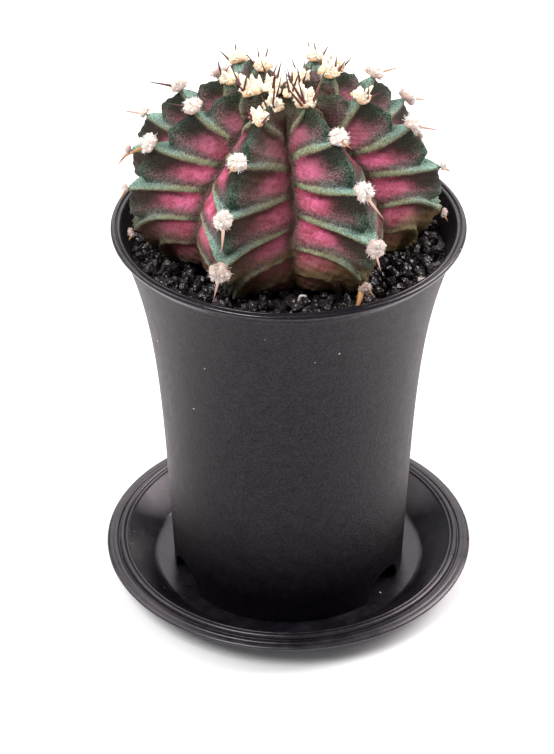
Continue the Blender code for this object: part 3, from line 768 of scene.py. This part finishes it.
colour = nodes.mix(dust_of(nodes, place, 300.0, 0.02, 0.2), colour, (0.75, 0.72, 0.66))
finish_surface(nodes, shader, nodes.math("ADD", fine, nodes.times(fleck, 2.0)), 0.10, {
    "Base Color": colour, "Roughness": nodes.stretch(fleck, 0.3, 0.7, 0.42, 0.60), "Specular IOR Level": 0.10})
print("skin material:", len(nodes.tree.nodes), "nodes")

# %% Make the stem
STEM_COLUMNS = RIBS * 40
polar_rows = np.concatenate([np.linspace(0.6, 124.0, 276), np.linspace(125.5, 178.0, 20)])
phases, polars = np.meshgrid(np.arange(STEM_COLUMNS) * 360.0 / STEM_COLUMNS, polar_rows)


def with_poles(values):
    """Values over the stem's grid as a list, followed by the means of its first row and of its last."""
    poles = [values[0].mean(axis=0), values[-1].mean(axis=0)]
    return np.concatenate([values.reshape(-1, *values.shape[2:]), poles])


stem_points = skin_point(phases, polars)
stem = make_piece("cactus_stem", with_poles(stem_points), capped_grid(len(polar_rows), STEM_COLUMNS), [SKIN])
for name, mask in band_masks(phases, polars).items():
    add_attribute(stem, name, with_poles(mask))
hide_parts("stem")
print("stem", len(stem.data.polygons), "faces")

# %% [markdown]
# ## Gravel
#
# The pot is topped with crushed black stone: angular grains of 2.5 to 4 mm with flat broken faces. Fourteen
# stones are made once, each the convex hull of a few random points, which gives exactly such faces. They
# are then copied onto a jittered hexagonal lattice in three layers, each turned and sized at random,
# wherever there is room between the stem and the wall. A lumpy bed in the stones' darkest tone, painted
# shade for the gravel deeper down, closes what can be seen between them.

# %% Stone material
STONE, nodes, shader, place = new_material("crushed_stone")
grain = grain_of(nodes, place, 1500.0)
colour = nodes.mix(nodes.read("tone"), (0.007, 0.005, 0.006), (0.046, 0.034, 0.037))
pits = nodes.times(nodes.stretch(grain["Fine"], 0.42, 0.7), 0.3)
chips = nodes.add("TexVoronoi", {"Vector": place, "Scale": 900.0})["Distance"]
relief = nodes.math("ADD", nodes.times(grain["Fine"], 0.6), nodes.times(chips, 2.0))
finish_surface(nodes, shader, relief, 0.30, {
    "Base Color": nodes.mix(pits, colour, (0.060, 0.058, 0.058)),
    "Roughness": nodes.stretch(grain["Patches"], 0.3, 0.7, 0.16, 0.42)})
print("stone material:", len(nodes.tree.nodes), "nodes")

# %% Prototype stones
rng = np.random.default_rng(11)


def crushed_stone():
    """Corners and triangles of the convex hull of 20 random points in a squashed ball."""
    points = rng.normal(size=(20, 3))
    points /= np.linalg.norm(points, axis=1, keepdims=True)
    points *= rng.uniform(0.78, 1.0, (20, 1)) * rng.uniform((0.75, 0.65, 0.55), (1.15, 1.0, 0.85))
    shape = bmesh.new()
    for point in points:
        shape.verts.new(point)
    hull = bmesh.ops.convex_hull(shape, input=shape.verts)
    inside = list(set(hull["geom_interior"]) | set(hull["geom_unused"]))
    bmesh.ops.delete(shape, geom=inside, context="VERTS")
    bmesh.ops.triangulate(shape, faces=shape.faces)
    shape.verts.index_update()
    corners = np.array([vertex.co for vertex in shape.verts])
    triangles = np.array([[vertex.index for vertex in face.verts] for face in shape.faces])
    shape.free()
    return corners, triangles


def random_turns(count):
    """Rotation matrices from random unit quaternions."""
    quaternions = rng.normal(size=(4, count))
    w, x, y, z = quaternions / np.linalg.norm(quaternions, axis=0)
    return np.array([[1 - 2 * (y * y + z * z), 2 * (x * y - z * w), 2 * (x * z + y * w)],
                     [2 * (x * y + z * w), 1 - 2 * (x * x + z * z), 2 * (y * z - x * w)],
                     [2 * (x * z - y * w), 2 * (y * z + x * w), 1 - 2 * (x * x + y * y)]]).transpose(2, 0, 1)


STONES = [crushed_stone() for _ in range(14)]
print("stone prototypes with", [len(triangles) for _, triangles in STONES], "faces")

# %% Lay the stones
STONE_PITCH = 3.35
LAYER_DEPTHS = (0.6, 2.3, 4.0)


def compass(points):
    """Azimuth in degrees and distance from the pot's axis of each point."""
    return np.degrees(np.arctan2(points[:, 0], -points[:, 1])), np.hypot(points[:, 0], points[:, 1])


def stem_reach(azimuth, low, high):
    """How far the skin stands out from the pot's axis in each direction, between two heights."""
    skin = stem_points.reshape(-1, 3)
    direction, distance = compass(skin[(skin[:, 2] > low) & (skin[:, 2] < high)])
    bins = np.zeros(360)
    np.maximum.at(bins, (direction % 360.0).astype(int) % 360, distance)
    bins = np.maximum(bins, np.maximum(np.roll(bins, 1), np.roll(bins, -1)))
    return bins[(azimuth % 360.0).astype(int) % 360]


def lattice(depth):
    """A jittered hexagonal lattice over the pot's mouth, at a depth below the top of the gravel."""
    u, v = np.meshgrid(np.arange(-18, 19), np.arange(-18, 19))
    x, y = (u + 0.5 * (v % 2)) * STONE_PITCH, v * STONE_PITCH * 0.866
    flat = np.stack([x.ravel(), y.ravel()], axis=-1) + rng.normal(scale=STONE_PITCH * 0.17, size=(x.size, 2))
    return np.column_stack([flat, GRAVEL_TOP - depth + rng.normal(scale=0.32, size=x.size)])


spots = np.concatenate([lattice(depth) for depth in LAYER_DEPTHS])
direction, reach = compass(spots)
size = rng.uniform(1.5, 2.45, len(spots)) * np.where(rng.random(len(spots)) < 0.2, 1.12, 1.0)
in_pot = reach < inner(spots[:, 2]) - size * 0.82
off_stem = reach > stem_reach(direction, GRAVEL_TOP - 2.5, GRAVEL_TOP + 0.8) + size * 0.2
spots, size = spots[in_pot & off_stem], size[in_pot & off_stem]
turns = random_turns(len(spots))
kinds = rng.integers(0, len(STONES), len(spots))
points, faces, tones, offset = [], [], [], 0
for kind, (corners, triangles) in enumerate(STONES):
    mine = kinds == kind
    placed = np.einsum("nij,kj->nki", turns[mine], corners) * size[mine][:, None, None]
    placed = placed + spots[mine][:, None, :]
    starts = offset + np.arange(mine.sum())[:, None, None] * len(corners)
    points.append(placed.reshape(-1, 3))
    faces.append((triangles[None] + starts).reshape(-1, 3))
    tones.append(np.repeat(rng.random(mine.sum()) ** 1.6, len(corners)))
    offset += mine.sum() * len(corners)
gravel = make_piece("gravel_stones", np.concatenate(points), [np.concatenate(faces)], [STONE],
                    smooth=False)
add_attribute(gravel, "tone", np.concatenate(tones))
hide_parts("gravel_dressing")
print("gravel:", len(spots), "stones,", len(gravel.data.polygons), "faces")

# %% The bed under the stones
BED_ROWS, BED_COLUMNS = 44, 220
radius = np.linspace(12.0, inner(GRAVEL_TOP - 2.4) - 0.35, BED_ROWS)[:, None]
azimuth = (np.arange(BED_COLUMNS) * 360.0 / BED_COLUMNS)[None, :]
lump = 0.45 * np.sin(radius * 2.3 + azimuth * 0.55) * np.sin(azimuth * 0.35 - radius * 1.1)
flat = around(azimuth, radius)
top = np.concatenate([flat, (GRAVEL_TOP - 3.3 + lump)[..., None]], axis=-1)
under = np.concatenate([flat, np.full_like(lump, GRAVEL_TOP - 5.4)[..., None]], axis=-1)[::-1]
bed_faces = [grid_quads(2 * BED_ROWS, BED_COLUMNS, close_rows=True)]
bed = make_piece("gravel_bed", np.concatenate([top, under]), bed_faces, [STONE])
# Tone 0 is the stones' darkest colour: painted shade for the gravel deeper down
add_attribute(bed, "tone", np.zeros(len(bed.data.vertices)))
print("bed:", len(bed.data.polygons), "faces")

# %% [markdown]
# ## Potting mix
#
# The mix under the gravel is only seen through the drain hole and from cut views, so its CAD solid stays.
# It gets a material of its own: dark peat with paler crumbs.

# %% Mix material
MIX, nodes, shader, place = new_material("peat_mix")
grain = grain_of(nodes, place, 700.0)
colour = nodes.mix(grain["Patches"], (0.018, 0.011, 0.007), (0.075, 0.047, 0.026))
colour = nodes.mix(nodes.stretch(grain["Beads"], 0.62, 0.9, 0.0, 0.5), colour, (0.30, 0.25, 0.19))
finish_surface(nodes, shader, grain["Fine"], 0.6, {"Base Color": colour, "Roughness": 0.95})
mix_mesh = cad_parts["potting_mix"].data
mix_mesh.materials.clear()
mix_mesh.materials.append(MIX)
print("mix material on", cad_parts["potting_mix"].name)

# %% [markdown]
# ## Wool and spines
#
# An areole is a cushion of felt with spines in it. A particle system would grow the felt, but here every
# fibre is a real tapered rod, so it is in the mesh wherever the model goes. Rods are made many at a time: a
# path for each, a radius at each point of the path, and a ring of corners set square to the path's
# direction.

# %% Rods
def unit(vectors):
    """The same directions at length 1."""
    return vectors / np.linalg.norm(vectors, axis=-1, keepdims=True)


def rods(paths, radii, sides):
    """Tapered closed rods. paths is (rods, points, 3), radii is (rods, points).

    At each path point p with direction t, the ring is p + r (cos a u + sin a v), with u and v square to t: u
    comes from a fixed vector with its part along t taken away, and v = t x u. Both ends close to a point.
    """
    number, steps, _ = paths.shape
    tangent = unit(np.gradient(paths, axis=1))
    whole = unit(paths[:, -1] - paths[:, 0])
    helper = np.where(np.abs(whole[:, 2:3]) < 0.8, [[0.0, 0.0, 1.0]], [[1.0, 0.0, 0.0]])[:, None, :]
    u = unit(helper - (helper * tangent).sum(-1, keepdims=True) * tangent)
    v = np.cross(tangent, u)
    turn = np.arange(sides) * 2.0 * pi / sides
    ring = np.cos(turn)[:, None] * u[:, :, None] + np.sin(turn)[:, None] * v[:, :, None]
    points = paths[:, :, None] + radii[:, :, None, None] * ring
    points = np.concatenate([points.reshape(number, -1, 3), paths[:, :1], paths[:, -1:]], axis=1)
    each = steps * sides + 2
    start = (np.arange(number) * each)[:, None, None]
    quads, ends = capped_grid(steps, sides)
    along = np.concatenate([np.repeat(np.linspace(0, 1, steps), sides), [0.0, 1.0]])
    return (points.reshape(-1, 3), (quads[None] + start).reshape(-1, 4), (ends[None] + start).reshape(-1, 3),
            np.tile(along, number))


def curved_paths(roots, directions, lengths, bend, steps):
    """Paths from each root along a direction, bent by a vector that grows with the square of the distance."""
    t = np.linspace(0.0, 1.0, steps)[None, :, None]
    lengths = np.asarray(lengths)[:, None, None]
    return roots[:, None] + directions[:, None] * t * lengths + bend[:, None] * t ** 2 * lengths


# %% [markdown]
# The felt is white on grown areoles, with a rosy heart low in the tuft, partly its own pink and partly
# painted shade, and cream to apricot on the young ones at the crown. Fine patches of the felt are darkened
# as painted shade in its creases. The spines are horny: tan to pink with a darker tip when grown, and dark
# red-brown when young. Both materials read how far along its rod a point is, and how old its areole is.

# %% Wool and spine materials
WOOL, nodes, shader, place = new_material("areole_felt")
fine = grain_of(nodes, place, 2200.0)["Fine"]
young, along = nodes.read("young"), nodes.read("along")
outer = nodes.stretch(along, 0.0, 0.45)
# Towards the roots the grown felt turns rosy: partly its own pink, partly painted shade deep in the tuft
grown_felt = nodes.mix(outer, (0.56, 0.36, 0.31), (0.80, 0.76, 0.71))
soiled_felt = nodes.mix(outer, (0.36, 0.24, 0.20), (0.52, 0.42, 0.37))
young_felt = nodes.mix(nodes.stretch(along, 0.06, 0.42), (0.80, 0.50, 0.27), (0.93, 0.87, 0.71))
colour = nodes.mix(young, nodes.mix(nodes.read("soil"), grown_felt, soiled_felt), young_felt)
# Painted shade: fine patches of the felt darkened as if in its creases
painted_crease_shade = nodes.mix(young, (0.36, 0.22, 0.20), (0.58, 0.31, 0.14))
finish_surface(nodes, shader, fine, 0.14, {
    "Base Color": nodes.mix(nodes.stretch(fine, 0.30, 0.54, 0.40, 0.0), colour, painted_crease_shade),
    "Roughness": 0.95, "Sheen Weight": 0.35, "Specular IOR Level": 0.15})

SPINE, nodes, shader, place = new_material("spine_horn")
grain = grain_of(nodes, place, 1500.0)
horn, along = nodes.read("horn"), nodes.read("along")
pale = nodes.mix(nodes.stretch(along, 0.2, 0.95), (0.60, 0.42, 0.35), (0.34, 0.13, 0.11))
golden = nodes.mix(nodes.stretch(along, 0.1, 0.9), (0.58, 0.30, 0.10), (0.30, 0.12, 0.06))
dark = nodes.mix(nodes.stretch(along, 0.0, 0.7), (0.17, 0.040, 0.035), (0.050, 0.018, 0.020))
colour = nodes.mix(nodes.stretch(horn, 0.0, 0.5), pale, golden)
colour = nodes.mix(nodes.stretch(horn, 0.5, 1.0), colour, dark)
streaks = nodes.stretch(grain["Patches"], 0.45, 0.65, 0.0, 0.3)
finish_surface(nodes, shader, grain["Fine"], 0.03, {
    "Base Color": nodes.mix(streaks, colour, (0.40, 0.24, 0.17)),
    "Roughness": 0.42, "Specular IOR Level": 0.3})
print("areole materials:", WOOL.name, SPINE.name)

# %% [markdown]
# ### One areole
#
# Its frame is a seat on the skin, the direction out of it, the direction down the rib, and the one across.
# In that frame the felt is a lumpy dome, a spray of fine fibres, and rings of stubby felted spines that
# roughen its outline; the long spines then leave the middle. On a grown areole the stubs are blunt and
# crowd into a white knob. On a young one they are a few upright wedges over a frayed skirt, and the spines
# stand up between them.

# %% Place and frame of an areole
def areole_polars(rib):
    """Polar angles of a rib's areoles: even steps, but one closer step at the growing point."""
    first, step = RIB_FIRST_AREOLE[rib], AREOLE_STEP[rib]
    regular = first + step * np.arange(int((LOWEST_AREOLE - first) / step) + 1)
    youngest = first - YOUNG_STEP[rib] * step
    return np.concatenate([[youngest], regular]) if YOUNG_STEP[rib] > 0.0 else regular


def areole_frame(rib, polar):
    """The skin's point there, and unit vectors outward, down the rib and across it."""
    point = skin_point(np.array([rib * SECTOR]), np.array([polar]))[0]
    tilt = radians(polar)
    flat = around(RIB_AZIMUTHS[rib], sin(tilt) / STEM_RADIUS)
    outward = unit(np.array([flat[0], flat[1], cos(tilt) / STEM_HALF_HEIGHT]))
    across = np.array([*around(RIB_AZIMUTHS[rib] + 90.0, 1.0), 0.0])
    return point, outward, np.cross(across, outward), across


# %% Felt dome
def felt_dome(frame_of, radius, height, rng):
    """A dome of 9 x 20 points over the skin, squared a little and with lumps.

    At the tilt t and the turn u its size is 1 + 0.16 sin(3 u + a) sin(2.4 t + b) + 0.12 sin(5 u + c) sin(5 t)
    + 0.10 sin(4 u + d), with a to d at random.
    """
    point, outward, down, across = frame_of
    rows, columns = 9, 20
    tilt = np.linspace(0.08, pi * 0.62, rows)[:, None]
    turn = (np.arange(columns) * 2.0 * pi / columns)[None, :]
    a, b, c, d = rng.uniform(0, 2 * pi, 4)
    lump = 1.0 + 0.16 * np.sin(3 * turn + a) * np.sin(2.4 * tilt + b)
    lump = lump + 0.12 * np.sin(5 * turn + c) * np.sin(5 * tilt) + 0.10 * np.sin(4 * turn + d)
    side = (radius * lump * np.sin(tilt) ** 0.8)[..., None]
    rise = (height * lump * np.cos(tilt))[..., None]
    sideways = np.cos(turn)[..., None] * across + np.sin(turn)[..., None] * down
    points = point + side * sideways + rise * outward
    poles = [point + outward * height, point - outward * height * 0.5]
    along = np.concatenate([np.repeat(np.linspace(0.45, 0.0, rows), columns), [0.5, 0.0]])
    return (np.concatenate([points.reshape(-1, 3), poles]), *capped_grid(rows, columns), along)


# %% Fibres, stubs and locks
def spread(frame_of, turn, lean):
    """Unit vectors s = cos(turn) across + sin(turn) down, and cos(lean) outward + sin(lean) s."""
    _, outward, down, across = frame_of
    sideways = np.cos(turn)[:, None] * across + np.sin(turn)[:, None] * down
    return sideways, np.cos(lean)[:, None] * outward + np.sin(lean)[:, None] * sideways


def fibre_spray(frame_of, radius, height, length, tilt_most, number, rng):
    """Fine felt fibres that lean out in all directions from the dome, curling as they go."""
    seat, outward = frame_of[:2]
    turn = rng.uniform(0, 2 * pi, number)
    away = rng.random(number) ** 0.5
    lean = np.radians(tilt_most) * away + np.radians(rng.normal(scale=14.0, size=number))
    sideways, directions = spread(frame_of, turn, lean)
    roots = seat + sideways * (radius * 0.92 * away)[:, None]
    roots = roots + outward * (height * (1.0 - away ** 2) * 0.9)[:, None]
    curl = unit(rng.normal(size=(number, 3))) * 0.4
    paths = curved_paths(roots, directions, length * rng.uniform(0.5, 1.2, number), curl, 4)
    return rods(paths, np.linspace(1.0, 0.3, 4)[None] * rng.uniform(0.07, 0.12, (number, 1)), 3)


def stub_ring(frame_of, number, tilt, length, thick, profile, rng):
    """Stubby felted spines in a ring; profile is their thickness from root to end."""
    turn = (np.arange(number) + rng.uniform(-0.3, 0.3, number)) * 2.0 * pi / number + rng.uniform(0, 2 * pi)
    lean = np.radians(tilt + rng.uniform(-14.0, 14.0, number))
    sideways, directions = spread(frame_of, turn, lean)
    roots = frame_of[0] + sideways * thick * 0.6
    bend = unit(rng.normal(size=(number, 3))) * 0.12
    paths = curved_paths(roots, directions, length * rng.uniform(0.7, 1.15, number), bend, len(profile))
    return rods(paths, np.asarray(profile)[None] * thick * rng.uniform(0.8, 1.15, (number, 1)), 7)


def skirt(frame_of, radius, length, number, rng):
    """Flat locks of felt that hang from the dome's edge and fray its outline."""
    seat, outward = frame_of[:2]
    turn = (np.arange(number) + rng.uniform(-0.4, 0.4, number)) * 2.0 * pi / number
    sideways, directions = spread(frame_of, turn, np.radians(rng.uniform(82.0, 122.0, number)))
    roots = seat + sideways * (radius * 0.72) + outward * rng.uniform(0.2, 1.0, number)[:, None]
    droop = np.broadcast_to(-0.25 * outward, (number, 3))
    paths = curved_paths(roots, directions, length * rng.uniform(0.55, 1.1, number), droop, 4)
    return rods(paths, np.array([[0.26, 0.25, 0.16, 0.03]]) * rng.uniform(0.8, 1.3, (number, 1)), 5)


# %% [markdown]
# The long spines are listed for the areoles whose spines stand out most, as a tilt down the rib, a swing
# across it, a length, a bend and a thickness. The others draw theirs at random within the same range.

# %% Long spines
PALE, GOLDEN, DARK = 0.0, 0.5, 1.0
LOW_ON_RIB = 104.0
LONG_SPINES = {
    (0, 1): (DARK, [(-7, 7, 8.5, 0, 0.30), (-19, 11, 9.5, 0, 0.30), (10, -15, 5, 0, 0.26)]),
    (0, 2): (DARK, [(-14, -21, 5.8, 0, 0.30), (1, 32, 5.0, 0, 0.30), (27, -23, 4.2, 0, 0.26)]),
    (0, 4): (PALE, [(65, 15, 7.6, 0, 0.44)]),
    (0, 5): (PALE, [(40, 0, 6.2, 0.1, 0.42)]),
    (1, 1): (DARK, [(-30, -21, 10.5, 0, 0.34), (-26, -32, 8.2, 0, 0.32), (-6, -18, 8.4, 0, 0.32),
                    (-7, 19, 9.4, 0, 0.34)]),
    (1, 3): (PALE, [(65, 4, 8.8, 0, 0.40)]),
    (1, 4): (PALE, [(42, -12, 5.6, 0, 0.34)]),
    (1, 5): (GOLDEN, [(24, -38, 6.0, 0.1, 0.85), (10, 25, 3.0, 0, 0.4)]),
    (2, 1): (DARK, [(-33, -13, 5.4, 0, 0.30), (-13, -15, 5.4, 0, 0.28), (35, -3, 6.2, 0, 0.20)]),
    (2, 2): (PALE, [(47, -14, 7.0, 0, 0.40)]),
    (2, 3): (GOLDEN, [(50, 5, 2.4, 0.1, 0.30)]),
    (2, 4): (GOLDEN, [(40, 0, 2.2, 0.1, 0.30)]),
    (6, 2): (DARK, [(-3, 7, 6.4, 0, 0.30), (-38, 6, 5.4, 0, 0.26)]),
    (6, 3): (DARK, [(36, 25, 7.6, 0.15, 0.34)]),
    (7, 1): (DARK, [(16, -5, 8, 0, 0.30), (-14, 11, 8, 0, 0.30), (24, 12, 5, 0, 0.26)]),
    (7, 2): (DARK, [(48, -4, 7.4, 0, 0.20)]),
    (7, 3): (GOLDEN, [(50, 13, 7.6, 0.12, 0.40)]),
    (7, 4): (GOLDEN, [(48, 33, 2.6, 0.1, 0.32)]),
    (7, 5): (GOLDEN, [(40, 0, 2.2, 0.1, 0.30)]),
}


def usual_spines(young, polar, rng):
    """Three spines that stand up from a young areole, or one that leans down from a grown one."""
    if young > 0.5:
        return DARK, [(rng.uniform(-25, 0), rng.uniform(-12, 12), rng.uniform(4.2, 5.2), 0, 0.30),
                      (rng.uniform(-10, 10), rng.uniform(-32, -20), rng.uniform(3.9, 4.9), 0, 0.28),
                      (rng.uniform(-10, 10), rng.uniform(20, 32), rng.uniform(3.9, 4.9), 0, 0.28)]
    length = 3.4 if polar > LOW_ON_RIB else rng.uniform(5.5, 7.5)
    tilt = 20.0 if polar > LOW_ON_RIB else rng.uniform(40.0, 66.0)
    return (PALE if rng.random() < 0.6 else GOLDEN), [(tilt, rng.uniform(-16, 16), length, 0.08, 0.36)]


def long_spines(frame_of, plan, root_spread, rng):
    """The horny spines. Plan rows are (tilt, swing, length, bend, thickness).

    A spine leaves along cos(swing) (cos(tilt) outward + sin(tilt) down) + sin(swing) across.
    """
    seat, outward, down, across = frame_of
    plan = np.asarray(plan, float)
    tilt, swing = np.radians(plan[:, 0:1]), np.radians(plan[:, 1:2])
    directions = np.cos(swing) * (np.cos(tilt) * outward + np.sin(tilt) * down) + np.sin(swing) * across
    roots = seat + root_spread * (swing * across + 0.55 * down + 0.1 * outward)
    bend = plan[:, 3:4] * down + rng.normal(scale=0.03, size=(len(plan), 3))
    paths = curved_paths(roots, unit(directions), plan[:, 2], bend, 12)
    t = np.linspace(0.0, 1.0, 12)
    return rods(paths, plan[:, 4:5] * (1.0 - t ** 1.6)[None] + 0.03, 8)


# %% Build every areole
TUFT_SIZE = {(1, 1): 1.20, (7, 1): 1.15, (0, 1): 1.1, (4, 3): 1.2, (5, 2): 1.1, (3, 1): 1.1, (0, 5): 1.1,
             (7, 4): 0.45, (7, 5): 0.48, (2, 3): 0.45, (2, 4): 0.48, (6, 4): 0.6, (6, 5): 0.5, (3, 4): 0.5}
YOUNG_LOOK = {(5, 2): 0.8, (4, 3): 0.9}
YOUNG_SINK = 1.4
BLUNT = (0.85, 1.0, 1.0, 0.85, 0.45)
WEDGE = (1.0, 1.0, 0.85, 0.60, 0.22)


def joined(blocks):
    """Joins blocks of (points, quads, triangles, along, material), and gives a material for each face."""
    points, quads, triangles, along, materials = zip(*blocks)
    starts = np.cumsum([0] + [len(block) for block in points[:-1]])
    faces, index = [], []
    for kind in (quads, triangles):
        faces.append(np.concatenate([block + start for block, start in zip(kind, starts)]))
        index += [np.full(len(block), material) for block, material in zip(kind, materials)]
    return np.concatenate(points), faces, np.concatenate(along), np.concatenate(index)


def tuft_blocks(frame_of, young, size, rng):
    """The felt of one areole, as blocks for joined."""
    if young > 0.5:
        radius, height = 2.2 * size, 1.6 * size
        felt = [felt_dome(frame_of, radius, height, rng),
                fibre_spray(frame_of, radius, height, 0.7 * size, 60.0, 110, rng),
                skirt(frame_of, radius, 0.95 * size, 60, rng),
                stub_ring(frame_of, 3, 14.0, 3.5 * size, 1.00 * size, WEDGE, rng),
                stub_ring(frame_of, 6, 40.0, 2.4 * size, 0.70 * size, WEDGE, rng)]
    else:
        radius, height = 2.15 * size, 1.65 * size
        felt = [felt_dome(frame_of, radius, height, rng),
                fibre_spray(frame_of, radius, height, 0.95 * size, 88.0, 230, rng),
                stub_ring(frame_of, 11, 70.0, 2.15 * size, 0.60 * size, BLUNT, rng),
                stub_ring(frame_of, 7, 36.0, 2.15 * size, 0.62 * size, BLUNT, rng)]
    return [(*block, 0) for block in felt]


def finish_tuft(name, blocks, young, horn, soil=0.0):
    """Makes the piece and stores what its two materials read."""
    points, faces, along, material_index = joined(blocks)
    piece = make_piece(name, points, faces, [WOOL, SPINE], material_index=material_index)
    add_attribute(piece, "along", along)
    for label, value in (("young", young), ("soil", soil), ("horn", horn)):
        add_attribute(piece, label, np.full(len(points), value))
    return piece


def make_areole(rib, number, polar):
    """One areole with its spines, in place of its CAD node."""
    rng = np.random.default_rng(100 * rib + number)
    point, outward, down, across = areole_frame(rib, polar)
    young = YOUNG_LOOK.get((rib, number), float(1.0 - smoothstep(27.0, 37.0, polar)))
    frame_of = (point + outward * (0.4 - YOUNG_SINK * young), outward, down, across)
    size = TUFT_SIZE.get((rib, number), 0.72 if polar > LOW_ON_RIB else 1.0)
    horn, plan = LONG_SPINES.get((rib, number), usual_spines(young, polar, rng))
    blocks = tuft_blocks(frame_of, young, size, rng)
    blocks.append((*long_spines(frame_of, plan, 2.9 * size if young > 0.5 else 0.8, rng), 1))
    name = f"areole_{rib + 1}_{number}"
    piece = finish_tuft("tuft_" + name, blocks, young, horn, float(smoothstep(62.0, 108.0, polar)))
    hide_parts(name)
    return piece


tufts = []
for rib in range(RIBS):
    for number, polar in enumerate(areole_polars(rib), start=1):
        tufts.append(make_areole(rib, number, polar))
print("areoles:", len(tufts), "with", sum(len(tuft.data.polygons) for tuft in tufts), "faces")

# %% [markdown]
# Between these, the very centre of the crown is full of buds that have only just opened: small apricot
# tufts crowded together, each with two thin dark spines.

# %% Crown buds
CROWN_BUDS = ((1, 3.5), (2, 8.0), (3, 6.0), (5, 5.0), (7, 3.0), (4, 7.0), (5, 10.0))
rng = np.random.default_rng(7)
buds = []
for rib, polar in CROWN_BUDS:
    point, outward, down, across = areole_frame(rib, polar)
    frame_of = (point - outward * 0.5, outward, down, across)
    plan = [(rng.uniform(-18, 12), rng.uniform(-20, 20), rng.uniform(5.0, 7.0), 0, 0.30) for _ in range(2)]
    buds += tuft_blocks(frame_of, 1.0, 0.66, rng)
    buds.append((*long_spines(frame_of, plan, 1.2, rng), 1))
crown = finish_tuft("crown_buds", buds, 1.0, DARK)
print("crown buds:", len(CROWN_BUDS), "with", len(crown.data.polygons), "faces")

# %% [markdown]
# Two scraps have dropped on the gravel in front: a pale curl that stands between the stones, and a flake of
# felt that leans on the wall. They are short bent rods like the spines.

# %% Scraps on the gravel
CURL = (2.5, -32.3, GRAVEL_TOP + 1.3)
FLAKE = (32.1, -21.7, GRAVEL_TOP + 0.6)
# Root, direction, length, bend, and the thickness a - b t^c at the share t of the way
SCRAPS = ((CURL, (-0.10, -0.15, 0.97), 5.4, (0.42, 0.0, -0.62), 0.50, 0.28, 1),
          (FLAKE, (0.90, 0.05, 0.35), 1.5, (0.0, 0.0, 0.15), 0.45, 0.35, 2),
          (FLAKE, (-0.40, 0.30, 0.85), 0.8, (0.0, 0.0, 0.0), 0.45, 0.20, 1),
          (FLAKE, (-0.2, -0.7, 0.2), 0.7, (0.0, 0.0, 0.0), 0.40, 0.20, 1))
roots, directions, lengths, bends, *thickness = (np.array(column) for column in zip(*SCRAPS))
paths = curved_paths(roots, directions, lengths, bends, 10)
a, b, c = (column[:, None] for column in thickness)
points, quads, triangles, along = rods(paths, a - b * np.linspace(0.0, 1.0, 10)[None, :] ** c, 8)
scraps = make_piece("gravel_scraps", points, [quads, triangles], [WOOL])
add_attribute(scraps, "along", along)
add_attribute(scraps, "soil", np.full(len(points), 0.35))
print("scraps:", len(scraps.data.polygons), "faces")

# %% [markdown]
# ## Studio
#
# A pale floor, an even white surround and large soft lights. The surround gives the black plastic its grey
# edges, because a glossy surface seen at a glancing angle mirrors whatever is beside it.

# %% Floor
HALF = 3.0
corners = [(-HALF, -HALF, 0.0), (HALF, -HALF, 0.0), (HALF, HALF, 0.0), (-HALF, HALF, 0.0)]
floor_mesh = bpy.data.meshes.new("floor")
floor_mesh.from_pydata(corners, [], [(0, 1, 2, 3)])
floor = bpy.data.objects.new("floor", floor_mesh)
bpy.context.scene.collection.objects.link(floor)
PAPER, nodes, shader, place = new_material("pale_paper")
nodes.feed(shader, {"Base Color": (0.86, 0.86, 0.87, 1.0), "Roughness": 0.9})
floor_mesh.materials.append(PAPER)
print("floor:", 2 * HALF, "m wide")


# %% Lights
def area_light(name, place, target, size, power, colour=(1.0, 1.0, 1.0)):
    """A square soft light that looks at a point."""
    lamp = bpy.data.lights.new(name, "AREA")
    lamp.size, lamp.energy, lamp.color = size, power, colour
    holder = bpy.data.objects.new(name, lamp)
    holder.location = place
    holder.rotation_euler = (Vector(target) - Vector(place)).to_track_quat("-Z", "Y").to_euler()
    bpy.context.scene.collection.objects.link(holder)


WARM = (1.0, 0.95, 0.94)
area_light("key", (-0.45, -0.50, 1.00), (0.0, 0.0, 0.1), 0.50, 11.0)
area_light("back", (0.0, 1.4, 1.05), (0.0, 0.0, 0.06), 1.8, 17.0, WARM)
area_light("left", (-0.95, 0.30, 0.95), (0.0, 0.0, 0.06), 0.9, 9.5, WARM)
area_light("right", (1.0, 0.35, 0.90), (0.0, 0.0, 0.06), 0.9, 29.0, WARM)
world = bpy.data.worlds.new("studio")
world.use_nodes = True
background = world.node_tree.nodes["Background"]
background.inputs["Color"].default_value = (1.0, 1.0, 1.0, 1.0)
background.inputs["Strength"].default_value = 0.38
bpy.context.scene.world = world
bpy.context.scene.view_settings.view_transform = "Standard"
print("lights:", [lamp.name for lamp in bpy.data.lights])
